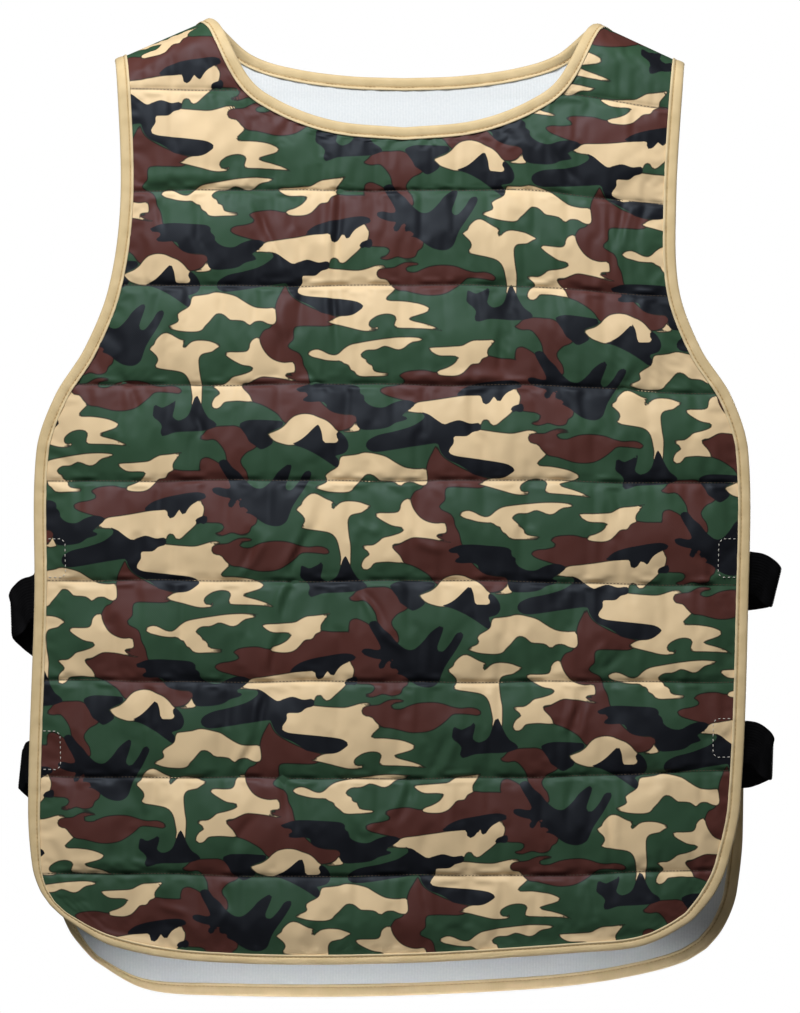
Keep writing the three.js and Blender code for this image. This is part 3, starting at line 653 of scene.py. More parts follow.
def mixColour(tree, factor, a, b, blend="MIX"):
    node = addNode(tree, "ShaderNodeMix", data_type="RGBA", blend_type=blend)
    for index, value in ((0, factor), (6, a), (7, b)):
        if isinstance(value, bpy.types.NodeSocket):
            tree.links.new(value, node.inputs[index])
        else:
            node.inputs[index].default_value = value if index == 0 else (*value, 1)
    return node.outputs[2]


def stepNode(tree, value, low, high, start=0.0, end=1.0):
    return addNode(
        tree, "ShaderNodeMapRange", interpolation_type="SMOOTHSTEP",
        inputs={"Value": value, "From Min": low, "From Max": high, "To Min": start, "To Max": end},
    ).outputs[0]


def maths(tree, operation, *values):
    inputs = dict(enumerate(values))
    return addNode(tree, "ShaderNodeMath", operation=operation, inputs=inputs).outputs[0]


def clothUv(tree):
    return addNode(tree, "ShaderNodeUVMap", uv_map="cloth").outputs[0]


def noise(tree, vector, scale, detail=3.0, rough=0.5):
    inputs = {"Vector": vector, "Scale": scale, "Detail": detail, "Roughness": rough}
    return addNode(tree, "ShaderNodeTexNoise", inputs=inputs).outputs[0]


def wave(tree, vector, pitch, direction, wobble=0.0):  # bands at a pitch in metres
    inputs = {"Vector": vector, "Scale": 2 * math.pi / 20 / pitch, "Distortion": wobble, "Detail": 1.0}
    return addNode(
        tree, "ShaderNodeTexWave", wave_type="BANDS", bands_direction=direction, inputs=inputs
    ).outputs["Fac"]


def bump(tree, height, distance, strength, normal=None):
    node = addNode(
        tree, "ShaderNodeBump", inputs={"Height": height, "Distance": distance, "Strength": strength}
    )
    if normal is not None:
        tree.links.new(normal, node.inputs["Normal"])
    return node.outputs[0]


def camoMaterial():  # printed satin: four colours by distance into each printed shape, on a fine twill
    material, tree, shader = blankMaterial(
        "camouflageCloth", Specular_IOR_Level=0.27, Specular_Tint=(0.74, 0.86, 1.0, 1)
    )
    uv = clothUv(tree)
    printed = addNode(tree, "ShaderNodeAttribute", attribute_name="camoPrint")
    layers = addNode(tree, "ShaderNodeSeparateXYZ", inputs={"Vector": printed.outputs["Vector"]}).outputs
    colour = camo["green"]
    for index, name in enumerate(("brown", "tan", "black")):
        colour = mixColour(tree, stepNode(tree, layers[index], -0.22, 0.22), colour, camo[name])
        if name != "black":
            away = maths(tree, "ABSOLUTE", layers[index])
            colour = mixColour(tree, stepNode(tree, away, 0.12, 0.7, 0.85, 0.0), colour, camo["line"])
    # Painted shade along each quilting line: the colour is halved on the line and back to full about 1.2 mm
    # away, where the groove is shaded
    seam = addNode(tree, "ShaderNodeAttribute", attribute_name="seamAway").outputs["Fac"]
    pressed = stepNode(tree, seam, 0.15, 1.2, 0.5, 1.0)
    cloudsAndLineShade = stepNode(tree, noise(tree, uv, 18, 4), 0.25, 0.75, 0.92, 1.06)
    # random clouds of tone, times that painted line shade
    cloudsAndLineShade = maths(tree, "MULTIPLY", cloudsAndLineShade, pressed)
    colour = mixColour(tree, 1.0, colour, addNode(
        tree, "ShaderNodeCombineColor", inputs={"Red": cloudsAndLineShade, "Green": cloudsAndLineShade, "Blue": cloudsAndLineShade}
    ).outputs[0], "MULTIPLY")
    tree.links.new(colour, shader.inputs["Base Color"])
    tree.links.new(stepNode(tree, noise(tree, uv, 60, 3), 0.2, 0.8, 0.51, 0.62), shader.inputs["Roughness"])
    twill = bump(tree, wave(tree, uv, 0.0008, "DIAGONAL", 0.4), 0.00006, 0.5)
    crinkle = bump(tree, noise(tree, uv, 130, 4, 0.6), 0.0005, 0.12, twill)
    crumple = bump(tree, noise(tree, uv, 42, 5, 0.55), 0.0012, 0.16, crinkle)
    tree.links.new(crumple, shader.inputs["Normal"])
    return material


def liningMaterial():  # white knit with fine upright ribs
    material, tree, shader = blankMaterial(
        "whiteLining", Roughness=0.9, Specular_IOR_Level=0.2, Sheen_Weight=0.15
    )
    uv = clothUv(tree)
    ribs = wave(tree, uv, 0.0021, "X", 0.8)
    soft = noise(tree, uv, 520, 4, 0.7)
    tone = mixColour(tree, stepNode(tree, ribs, 0.1, 0.9), (0.755, 0.785, 0.805), (0.785, 0.815, 0.835))
    tone = mixColour(tree, stepNode(tree, soft, 0.3, 0.72, 0.4, 0.0), tone, (0.64, 0.69, 0.72))
    tree.links.new(tone, shader.inputs["Base Color"])
    tree.links.new(bump(tree, soft, 0.0006, 0.3, bump(tree, ribs, 0.0003, 0.14)), shader.inputs["Normal"])
    return material


tapeSeam = 6.95  # stitches of the tape, inwards from the outline


def bindingMaterial():  # tan bias tape: a twill that runs across the tape, with a painted highlight along the fold of its inner edge and painted shade along its stitching
    material, tree, shader = blankMaterial(
        "tanBinding", Roughness=0.62, Specular_IOR_Level=0.3, Sheen_Weight=0.1
    )
    uv = clothUv(tree)
    fine = wave(tree, uv, 0.0007, "DIAGONAL", 0.5)
    patchy = noise(tree, uv, 70, 4)
    tone = mixColour(tree, stepNode(tree, patchy, 0.3, 0.7), (0.62, 0.47, 0.245), (0.70, 0.54, 0.30))
    tone = mixColour(tree, stepNode(tree, fine, 0.2, 0.9, 0.0, 0.25), tone, (0.80, 0.65, 0.40))
    across = addNode(tree, "ShaderNodeSeparateXYZ", inputs={"Vector": uv}).outputs["Y"]
    inwards = maths(tree, "ABSOLUTE", across)
    groove = maths(tree, "ABSOLUTE", maths(tree, "SUBTRACT", inwards, tapeSeam * mm))
    # painted shade: the tape is darkened along the groove of its stitching
    tone = mixColour(tree, stepNode(tree, groove, 0.0001, 0.0009, 0.5, 0.0), tone, (0.50, 0.32, 0.13))
    # painted highlight: the tape is lightened towards cream along its inner folded edge
    tone = mixColour(tree, stepNode(tree, inwards, 0.0076, 0.0085, 0.0, 0.3), tone, (0.88, 0.76, 0.52))
    tree.links.new(tone, shader.inputs["Base Color"])
    tree.links.new(bump(tree, patchy, 0.0006, 0.25, bump(tree, fine, 0.00008, 0.6)), shader.inputs["Normal"])
    return material


def elasticMaterial():  # black elastic: ribs along the strap, crossed by fine weft
    material, tree, shader = blankMaterial("blackElastic", Roughness=0.8, Specular_IOR_Level=0.08)
    uv = clothUv(tree)
    weft = wave(tree, uv, 0.0009, "X", 0.3)
    worn = stepNode(tree, noise(tree, uv, 90, 4), 0.3, 0.75)
    tone = mixColour(tree, worn, (0.0022, 0.0022, 0.0027), (0.0048, 0.0048, 0.0056))
    tree.links.new(tone, shader.inputs["Base Color"])
    tree.links.new(bump(tree, weft, 0.0001, 0.6), shader.inputs["Normal"])
    return material


def threadMaterial(name, dark, light):  # twisted thread, with a painted highlight on the crests of its twist
    material, tree, shader = blankMaterial(name, Roughness=0.6, Specular_IOR_Level=0.35)
    place = addNode(tree, "ShaderNodeTexCoord").outputs["Object"]
    twist = wave(tree, place, 0.0004, "DIAGONAL", 0.5)
    # painted highlight: the colour goes from dark to light with the height of the twist
    tree.links.new(mixColour(tree, twist, dark, light), shader.inputs["Base Color"])
    tree.links.new(bump(tree, twist, 0.00005, 0.5), shader.inputs["Normal"])
    return material


camoCloth = camoMaterial()
whiteLining = liningMaterial()
tanBinding = bindingMaterial()
blackElastic = elasticMaterial()
quiltThread = threadMaterial("quiltThread", (0.04, 0.026, 0.016), (0.12, 0.08, 0.048))
bindThread = threadMaterial("bindThread", (0.30, 0.19, 0.08), (0.50, 0.35, 0.17))
boxThread = threadMaterial("boxThread", (0.42, 0.40, 0.36), (0.74, 0.72, 0.66))
print("materials made")


# Creases of the hanging cloth: from (x, down) to (x, down), half width, height (below nought is a valley)
creases = {
    "depth": 1.95,  # all heights times this
    "width": 0.7,  # all half widths times this
    "front": [
        (-190, 131, -106, 133, 6.5, 0.7),
        (-8, 271, 104, 277, 7.0, 0.9),
        (-245, 616, -150, 617, 6.5, 0.6),
        (-103, 143, -82, 200, 3.2, -0.8),
        (-108, 146, -88, 200, 4.5, 0.5),
        (-44, 118, -44, 208, 3.0, -0.9),
        (-50, 122, -49, 206, 4.0, 0.7),
        (-46, 208, -46, 258, 3.0, -0.8),
        (-52, 210, -51, 254, 4.0, 0.5),
        (-80, 208, -84, 250, 8.0, 0.9),
        (-72, 256, -52, 288, 4.0, -0.8),
        (-202, 262, -180, 302, 4.0, -0.7),
        (-146, 294, -137, 320, 3.5, -0.7),
        (-177, 142, -166, 168, 3.5, -0.6),
        (73, 234, 67, 272, 3.2, -0.9),
        (79, 236, 74, 268, 4.0, 0.6),
        (148, 142, 148, 206, 3.0, -0.8),
        (161, 146, 149, 182, 3.5, -0.9),
        (166, 148, 155, 184, 3.5, 0.8),
        (172, 150, 166, 186, 3.2, -0.7),
        (103, 108, 128, 138, 4.5, -0.8),
        (163, 256, 147, 288, 4.0, 0.8),
        (170, 258, 154, 290, 4.0, -0.7),
        (-62, 376, -77, 412, 3.4, -1.0),
        (-69, 376, -84, 414, 3.8, 1.0),
        (-74, 410, -82, 446, 3.2, -1.0),
        (-80, 410, -88, 448, 3.6, 1.0),
        (-80, 442, -91, 484, 3.2, -0.9),
        (-86, 444, -96, 484, 4.0, 0.7),
        (-90, 384, -112, 412, 4.0, 1.0),
        (-97, 386, -117, 412, 3.6, -0.7),
        (-32, 420, -14, 450, 3.4, 1.0),
        (-26, 420, -7, 450, 3.4, -0.8),
        (-16, 446, 2, 466, 3.4, 0.8),
        (-30, 377, -12, 381, 4.0, 0.8),
        (8, 388, 34, 394, 4.5, 0.7),
        (130, 480, 146, 458, 3.8, 0.9),
        (140, 482, 158, 462, 4.0, -0.8),
        (150, 350, 154, 376, 3.2, -0.7),
        (206, 394, 224, 412, 4.5, -0.9),
        (200, 420, 224, 416, 4.0, 0.9),
        (-91, 492, -101, 524, 3.2, -1.0),
        (-97, 494, -107, 526, 4.0, 0.9),
        (-100, 520, -114, 556, 3.2, -1.0),
        (-106, 520, -120, 556, 4.0, 0.9),
        (-88, 540, -75, 586, 3.2, -0.8),
        (-98, 578, -121, 606, 3.6, -0.8),
        (-120, 602, -122, 624, 3.6, -0.7),
        (-122, 628, -121, 650, 3.4, -0.8),
        (-119, 640, -136, 672, 4.0, 0.8),
        (5, 554, -10, 584, 3.4, 0.9),
        (11, 556, -4, 588, 3.4, -0.9),
        (-8, 578, -28, 594, 3.8, 0.8),
        (-36, 582, -25, 600, 3.2, -0.7),
        (36, 522, 18, 554, 4.0, -0.9),
        (42, 524, 25, 554, 4.5, 0.6),
        (120, 498, 112, 530, 3.4, 0.8),
        (127, 498, 119, 530, 3.2, -0.8),
        (134, 498, 126, 530, 3.4, 0.8),
        (122, 556, 116, 594, 3.6, -0.7),
        (148, 556, 147, 622, 3.2, -0.9),
        (153, 558, 152, 620, 3.8, 0.6),
        (136, 624, 136, 656, 3.2, -0.9),
        (129, 626, 128, 660, 3.4, 0.7),
        (14, 624, 22, 656, 3.6, -0.7),
        (-172, 642, -146, 653, 4.0, 0.7),
    ],
    "back": [
        (-60, 90, -70, 230, 5.0, 1.0),
        (-68, 92, -79, 230, 5.0, -0.9),
        (70, 80, 90, 240, 5.0, -1.0),
        (-20, 380, 15, 520, 5.0, 1.1),
        (-10, 378, 25, 518, 4.5, -1.0),
        (120, 560, 150, 690, 5.0, 1.1),
        (-140, 540, -170, 690, 5.0, -1.1),
        (-40, 240, -58, 330, 4.0, -0.9),
        (150, 300, 128, 400, 4.5, 1.0),
        (-170, 330, -150, 420, 4.5, 0.9),
    ],
}


# Height of the creases: each is a bell across its line that fades out at both ends
def creaseLift(panel, x, down):
    lift = np.zeros_like(x)
    for x0, down0, x1, down1, halfWidth, height in creases[panel]:
        run = np.hypot(x1 - x0, down1 - down0)
        ux, ud = (x1 - x0) / run, (down1 - down0) / run
        t = ((x - x0) * ux + (down - down0) * ud) / run
        sideways = (x - x0) * -ud + (down - down0) * ux + 1.2 * np.sin(t * 5 + x0)
        fade = ramp(-0.05, 0.35, t) * (1 - ramp(0.65, 1.05, t))
        bell = np.exp(-((sideways / halfWidth / creases["width"]) ** 2))
        lift = lift + creases["depth"] * height * bell * fade
    return lift


puckers = {
    "waves": ((0.34, 37, 1.9), (0.32, 19.5, 4.1), (0.26, 11.3, 2.7), (0.2, 7.9, 5.2)),  # height, pitch, turn
    "reach": 11.0,
    "start": 3.0,
}


# Puckers beside the stitches: waves along each line that die away from it
def puckerLift(x, channel):
    line = np.round(channel)
    away = np.abs(channel - line) * quilt["pitch"]
    waves = sum(
        size * np.sin(2 * math.pi * x / pitch + line * turn) for size, pitch, turn in puckers["waves"]
    )
    return waves * np.exp(-away / puckers["reach"]) * ramp(0, puckers["start"], away)


rumples = [  # height, pitch, direction, phase
    (0.20, 61, 0.4, 1.0), (0.18, 43, 1.3, 2.3), (0.15, 33, 2.2, 0.6), (0.11, 23, 2.8, 3.1),
    (0.08, 16, 0.9, 4.4),
]


# Rumple of the cloth: low waves in several directions whose sum never lines up
def rumpleLift(x, down):
    return sum(
        size * np.sin(2 * math.pi * (x * math.cos(turn) + down * math.sin(turn)) / pitch + phase)
        for size, pitch, turn, phase in rumples
    )


cushion = {
    "frames": 22,
    "least": -0.8,  # limits of the lift
    "most": 7.0,
    "cloth": {
        "quality": 5,
        "mass": 0.2,
        "tension_stiffness": 18,
        "compression_stiffness": 18,
        "shear_stiffness": 6,
        "bending_stiffness": 0.4,
        "air_damping": 6,
        "shrink_min": -0.011,  # cloth between the stitches is this much longer than the pad under it
        "use_pressure": True,
        "uniform_pressure_force": 2.6,
    },
}


# Fills the channels by simulation: the cloth on every second grid point is held at its stitches and edges
# and blown up a little, and how far each point lifts off is given back
def inflate(panel, points, outward, held):
    rows, columns = held.shape
    mesh = bpy.data.meshes.new("fill")
    turned = drape["face"][panel] > 0
    mesh.from_pydata((points.reshape(-1, 3) * mm).tolist(), [], gridFaces(rows, columns, 0, turned).tolist())
    body = bpy.data.objects.new("fill", mesh)
    scene = bpy.context.scene
    scene.collection.objects.link(body)
    group = body.vertex_groups.new(name="held")
    for index in np.nonzero(held.ravel())[0].tolist():
        group.add([index], 1.0, "REPLACE")
    cloth = body.modifiers.new("fill", "CLOTH")
    cloth.point_cache.frame_end = cushion["frames"]
    for key, value in cushion["cloth"].items():
        setattr(cloth.settings, key, value)
    cloth.settings.vertex_group_mass = "held"
    cloth.settings.effector_weights.gravity = 0
    cloth.collision_settings.use_collision = False
    for step in range(1, cushion["frames"] + 1):
        scene.frame_set(step)
    solved = body.evaluated_get(bpy.context.evaluated_depsgraph_get()).data
    moved = np.zeros(rows * columns * 3, np.float32)
    solved.vertices.foreach_get("co", moved)
    scene.frame_set(1)
    bpy.data.objects.remove(body)
    lift = ((moved.reshape(rows, columns, 3) / mm - points) * outward).sum(-1)
    print(f"{panel} filling lifts {lift.mean():.2f} mm on average, {lift.min():.2f} to {lift.max():.2f} mm")
    return np.clip(lift, cushion["least"], cushion["most"])


def refine(values, axis):  # doubles a grid along one axis: each new value is a cubic through four neighbours
    v = np.moveaxis(values, axis, 0)
    padded = np.concatenate([2 * v[:1] - v[1:2], v, 2 * v[-1:] - v[-2:-1]])
    between = (9 * (padded[1:-2] + padded[2:-1]) - padded[:-3] - padded[3:]) / 16
    fine = np.empty((2 * len(v) - 1, *v.shape[1:]))
    fine[::2], fine[1::2] = v, between
    return np.moveaxis(fine, 0, axis)


# Outer cloth of a panel: the pressed surface, plus what the filling lifts, the puckers and the creases, a
# shoulder that levels off away from each line, and a bite along the line. A coarse inner face and a rim
# close it.
def makeShell(panel):
    bands = quilt["bands"]
    x, down = panelGrid(panel, quilt["inset"], quilt["seamGap"], quilt["columns"], bands)
    fromEdge = edgeDistance(panel, x, down)
    free = ramp(quilt["pressedEdge"], quilt["freeEdge"], fromEdge)
    channel = channelAt(panel, x, down)
    away = np.where(channel > -0.9, np.abs(channel - np.round(channel)) * quilt["pitch"], 30)
    outward = outwardAt(panel, x, down)
    base = hangAt(panel, x, down) + outward * quilt["pressed"]
    seed = base + outward * (free * puckerLift(x, channel))[..., None]
    held = (away < quilt["heldLine"]) | (fromEdge < quilt["pressedEdge"])
    rise = refine(refine(inflate(panel, seed[::2, ::2], outward[::2, ::2], held[::2, ::2]), 0), 1)
    loose = free * ramp(0, quilt["loose"], away)
    rise = rise + free * (puckerLift(x, channel) + creaseLift(panel, x, down)) + loose * rumpleLift(x, down)
    rise = rise + quilt["shoulder"] * (1 - np.exp(-away / quilt["shoulderReach"])) * free
    rise = rise - quilt["groove"] * np.exp(-((away / quilt["bite"]) ** 2)) * ramp(4, 12, fromEdge)
    points = base + outward * rise[..., None]
    rows, columns = x.shape
    coarse = quilt["coarse"]
    inner = clothAt(panel, x[::coarse, ::coarse], down[::coarse, ::coarse], quilt["inner"])
    start = rows * columns
    turned = drape["face"][panel] > 0
    faces = gridFaces(rows, columns, 0, turned).tolist()
    faces += gridFaces(*inner.shape[:2], start, not turned).tolist()
    ring, innerRing = rimOf(rows, columns), rimOf(*inner.shape[:2]) + start
    for k in range(len(innerRing)):
        outside = np.take(ring, np.arange(k * coarse, (k + 1) * coarse + 1), mode="wrap")
        wall = [*outside[::-1].tolist(), int(innerRing[k]), int(innerRing[(k + 1) % len(innerRing)])]
        faces.append(wall[::-1] if turned else wall)
    piece = putMesh(
        f"{panel}_quilt", np.concatenate([points.reshape(-1, 3), inner.reshape(-1, 3)]), faces, camoCloth,
        [f"{panel}_shell"],
    )
    flatX, flatDown, seamAway = (
        np.concatenate([v.ravel(), v[::coarse, ::coarse].ravel()]) for v in (x, down, away)
    )
    putUv(piece, np.stack([flatX, -flatDown], 1))
    depth = camoPrint(panel, flatX, flatDown)
    printed = piece.data.attributes.new("camoPrint", "FLOAT_VECTOR", "POINT")
    printed.data.foreach_set("vector", depth.astype(np.float32).ravel())
    # distance from the nearest quilting line, which the cloth's material reads for its painted line shade
    seam = piece.data.attributes.new("seamAway", "FLOAT", "POINT")
    seam.data.foreach_set("value", seamAway.astype(np.float32))
    print(f"{panel} quilt made, {len(piece.data.polygons)} faces")
    return {"x": x, "down": down, "channel": channel, "points": points, "fromEdge": fromEdge}


shells = {panel: makeShell(panel) for panel in panels}


lining = {
    "outer": -0.3,
    "inner": -1.4,
    "dent": 0.9,  # how far the pad presses the lining in between two lines
    "pucker": 0.35,  # shares of the outer cloth's puckers and creases
    "crease": 0.2,
    "leastDent": -0.6,
    "edge": (9.0, 30.0),  # from held to free
    "columns": 88,
    "bands": (12, 16, 14),
}


# Lining of a panel: the same surface on the wearer's side, a thin wall that swells between the stitches
def makeLining(panel):
    x, down = panelGrid(panel, quilt["inset"], quilt["seamGap"], lining["columns"], lining["bands"])
    free = ramp(*lining["edge"], edgeDistance(panel, x, down))
    channel = channelAt(panel, x, down)
    swell = np.abs(np.sin(math.pi * channel)) ** 0.7
    uneven = lining["pucker"] * puckerLift(x, channel) + lining["crease"] * creaseLift(panel, x, down)
    soft = free * (lining["dent"] * swell + uneven)
    outer = clothAt(panel, x, down, lining["outer"])
    inner = clothAt(panel, x, down, lining["inner"] - np.maximum(soft, lining["leastDent"]))
    rows, columns = x.shape
    count = rows * columns
    turned = drape["face"][panel] > 0
    ring = rimOf(rows, columns)
    beyond = np.roll(ring, -1)
    wall = np.stack([ring, ring + count, beyond + count, beyond], 1)
    faces = np.concatenate([
        gridFaces(rows, columns, 0, turned),
        gridFaces(rows, columns, count, not turned),
        wall[:, ::-1] if turned else wall,
    ])
    piece = putMesh(
        f"{panel}_lining_cloth", np.concatenate([outer.reshape(-1, 3), inner.reshape(-1, 3)]), faces.tolist(),
        whiteLining, [f"{panel}_lining"],
    )
    flat = np.stack([x.ravel(), -down.ravel()], 1)
    putUv(piece, np.concatenate([flat, flat]))


for panel in panels:
    makeLining(panel)


# Binding: a folded tape in section, from the edge of its outer leg over the fold to its inner leg.
# Each row is inwards from the outline and lift off the cloth.
binding = {
    "step": 2.6,
    "section": [
        (9.0, 1.62), (9.3, 1.9), (9.28, 2.25), (9.0, 2.5), (8.5, 2.55), (7.9, 2.45), (7.4, 2.15),
        (tapeSeam, 1.95), (6.5, 2.05), (5.9, 2.3), (4.9, 2.48), (3.6, 2.55), (2.3, 2.52), (1.1, 2.3),
        (0.4, 1.75), (0.08, 0.95),
    ],
    "hollow": [(8.0, -1.52), (1.3, -1.5), (1.0, 0.0), (1.3, 1.5), (8.0, 1.52)],
    "ripple": 0.16,  # unevenness of the tape
    "ripples": ((9.7, 0.3), (15.1, 2.2), (23.9, 4.0)),  # its pitches and phases
    "still": 12.0,  # length at the shoulders in which it grows
    "threadLift": 1.95,
    # Corner where it turns under: x, down, reach
    "rolled": {"front": (-240, 650, 46), "back": (-222, 692, 46)},
    "narrow": 0.53,  # how much narrower it is seen there
    "hemNarrow": {"front": 0.23, "back": 0.0},  # and along the hem
}


# Width of the tape: 1, less a bell round the corner where it turns under, and less along the hem
def tapeWidth(panel, path):
    x, down, reach = binding["rolled"][panel]
    away = np.hypot(path[:, 0] - x, path[:, 1] - down)
    corner = binding["narrow"] * np.exp(-((away / reach) ** 2))
    hem = binding["hemNarrow"][panel] * ramp(down - 15, down + 15, path[:, 1])
    return 1 - np.maximum(corner, hem)[:, None]


# One loop of binding: the section is carried along the front edge and back along the back edge. Ripples
# are waves along the tape that are strongest at its inner edge.
def makeBinding(edge):
    leg = np.array(binding["section"])
    section = np.concatenate([leg, leg[::-1] * [1, -1], np.array(binding["hollow"])])
    loops, flat, run = [], [], 0.0
    for panel in panels:
        path, inward = boundEdge(panel, edge, binding["step"])
        along = run + np.arange(len(path)) * binding["step"]
        run = along[-1]
        place = path[:, None, :] + (inward * tapeWidth(panel, path))[:, None, :] * section[None, :, :1]
        waves = sum(np.sin(2 * math.pi * along / pitch + turn) for pitch, turn in binding["ripples"])
        loose = np.sign(section[:, 1]) * ramp(0, 9, section[:, 0]) * binding["ripple"]
        ends = ramp(0, binding["still"], np.minimum(along - along[0], along[-1] - along))
        lift = section[None, :, 1] + (waves * ends)[:, None] * loose
        points = clothAt(panel, place[..., 0], place[..., 1], lift)
        around = np.stack(np.broadcast_arrays(along[:, None], section[None, :, 0] * np.sign(lift)), -1)
        if panel == "back":
            points, around = points[1:-1][::-1], around[1:-1][::-1]
        loops.append(points)
        flat.append(around)
    points, flat = np.concatenate(loops), np.concatenate(flat)
    faces = tubeFaces(*points.shape[:2], closed=True).tolist()
    node = "edge_binding" if edge == "outer" else "neck_binding"
    piece = putMesh(f"{node}_tape", points.reshape(-1, 3), faces, tanBinding, [node])
    putUv(piece, flat.reshape(-1, 2))
    print(f"{node} made, {len(faces)} faces")


for edge in ("outer", "neck"):
    makeBinding(edge)


# Elastic straps, sewn behind both panels with a slack loop between them
strap = {
    "width": 30.0,
    "thickness": 1.4,
    "gap": 0.6,
    # How it leaves a panel: out past the edge, share of the droop, lift against its sewn end
    "leaving": [
        (-25.0, 0.0, 0.0), (-18.0, 0.12, 0.0), (-10.0, 0.58, -1.65), (-4.0, 0.9, -1.95), (2.0, 1.0, -2.25),
    ],
    "archAt": (0.35, 0.65),
    "frontArch": 2.2,  # the higher, the later it drops
    "backArch": 1.2,
    "squared": 0.6,  # how far the band stands square to its run
    "half": 5.5,  # half the depth of the loop at its tip
    "nose": 2.2,  # how far its bend stands out there
    "pinch": 0.05,  # narrowing at the tip of the loop
    "sections": 90,
    "ribs": 15,
    "ribHeight": 0.09,
}
# Side, level at the front, tip x, tip drop, level at the back, lean of the tip outwards at its top, and the
# share of the droop that is reached at the front edge and at the back edge
strapRows = {
    "strap_left_upper": (-1, 400, -277.5, 425, 467, 2, 0.66, 0.33),
    "strap_left_lower": (-1, 536, -271, 534, 570, -6, 0.6, 0.35),
    "strap_right_upper": (1, 400, 269, 404, 426, 14, 0.5, 0.5),
    "strap_right_lower": (1, 527, 266, 527, 558, 2, 0.2, 0.5),
}


# Smooth curve through points whose spans are timed by the root of their length, so that it never loops
def splineThrough(points, steps=24):
    p = np.array(points, float)
    p = np.concatenate([2 * p[:1] - p[1:2], p, 2 * p[-1:] - p[-2:-1]])
    time = np.sqrt(np.linalg.norm(np.diff(p, axis=0), axis=1))[:, None]
    speed = np.diff(p, axis=0) / time
    chord = (p[2:] - p[:-2]) / (time[1:] + time[:-1])
    pull = speed[:-1] - chord + speed[1:]
    t = np.linspace(0, 1, steps, endpoint=False)[None, :, None]
    a, b = p[1:-2, None], p[2:-1, None]
    goA, goB = (pull[:-1] * time[1:-1])[:, None], (pull[1:] * time[1:-1])[:, None]
    return np.concatenate([cubic(t, a, goA, b, goB).reshape(-1, 3), p[-2:-1]])


# A strap: a flat section with ribs along it, carried from behind the front panel round a slack loop to
# behind the back panel
def makeStrap(name, side, front, tipX, tipDrop, back, lean, frontDroop, backDroop):
    flatLift = -(quilt["pressed"] + strap["gap"] + strap["thickness"] / 2)
    tipDown = tipDrop + drape["roll"] * (math.pi / 2 - 1)
    levels = {"front": front, "back": back}
    edges = {panel: sideAt(panel, np.float64(level), side) for panel, level in levels.items()}

    def sewnEnd(panel, droop):
        out, share, lift = np.array(strap["leaving"]).T
        down = mix(levels[panel], tipDown, share * droop)
        return list(clothAt(panel, edges[panel] + side * out, down, flatLift + lift))

    def arch(start, end, late):  # two points between an edge and the tip that drop late
        return [
            np.array([*mix(start[:2], end[:2], share), mix(start[2], end[2], share**late)])
            for share in strap["archAt"]
        ]

    nose, half = side * strap["nose"], strap["half"]
    bend = ((tipX - nose, -half), (tipX, 0.0), (tipX - nose, half))
    loop = [np.array([x, y, -tipDrop]) for x, y in bend]
    before, after = sewnEnd("front", frontDroop), sewnEnd("back", backDroop)
    ahead = arch(before[-1], loop[0], strap["frontArch"])
    behind = arch(after[-1], loop[-1], strap["backArch"])
    spine = splineThrough(before + ahead + loop + behind[::-1] + after[::-1])
    length = np.linalg.norm(np.diff(spine, axis=0), axis=1).sum()
    spine = evenly(spine, length / strap["sections"])
    along = unit(np.gradient(spine, axis=0))
    ups = []
    for panel, level in levels.items():
        above, below = (hangAt(panel, edges[panel], np.float64(level + step)) for step in (-1, 1))
        ups.append(unit(above - below))
    share = np.linspace(0, 1, len(spine))[:, None]
    tip = share[np.argmax(side * spine[:, 0])]
    nearTip = ramp(0, 1, 1 - np.abs(share - tip) / np.where(share < tip, tip, 1 - tip))
    leaning = np.array([side * math.sin(math.radians(lean)), 0, math.cos(math.radians(lean))])
    up = unit(mix(mix(ups[0], ups[1], share), leaning, nearTip))
    up = unit(up - strap["squared"] * (up * along).sum(1, keepdims=True) * along)
    facing = unit(np.cross(along, up))
    up = up * (1 - strap["pinch"] * nearTip**6)
    w = np.linspace(1, -1, 6 * strap["ribs"] + 1)
    rounding = (1 - np.abs(w) ** 14) * 0.75 + 0.25
    ribs = strap["ribHeight"] * np.cos(2 * math.pi * w * strap["ribs"] / 2) * (np.abs(w) < 0.97)
    top = np.stack([w * strap["width"] / 2, strap["thickness"] / 2 * rounding + ribs], 1)
    section = np.concatenate([top, top[::-1] * [1, -1]])
    points = spine[:, None] + up[:, None] * section[:, :1] + facing[:, None] * section[:, 1:]
    faces = tubeFaces(*points.shape[:2], closed=False).tolist()
    sides, count = len(section), len(spine)
    faces.append(list(range(sides))[::-1])
    faces.append([(count - 1) * sides + k for k in range(sides)])
    piece = putMesh(f"{name}_webbing", points.reshape(-1, 3), faces, blackElastic, [name])
    run = np.broadcast_to(share * length, points.shape[:2])
    putUv(piece, np.stack([run, np.broadcast_to(section[:, 0], points.shape[:2])], -1).reshape(-1, 2))
    print(f"{name} made, {length:.0f} mm long")


for name, row in strapRows.items():
    makeStrap(name, *row)


# Stitches: length, gap, thread radius and how far the thread stands up
stitches = {
    "quilt": {"length": 1.9, "gap": 0.55, "radius": 0.24, "rise": 0.14},
    "bind": {"length": 2.4, "gap": 0.7, "radius": 0.22, "rise": 0.2},
    "box": {"length": 2.3, "gap": 1.2, "radius": 0.3, "rise": 0.3},
    "rings": 5,
    "sides": 6,
    "fromEdge": 8.5,  # quilting stitches end this far from an edge
    "onLine": 0.006,  # and stand within this share of a channel of their line
}


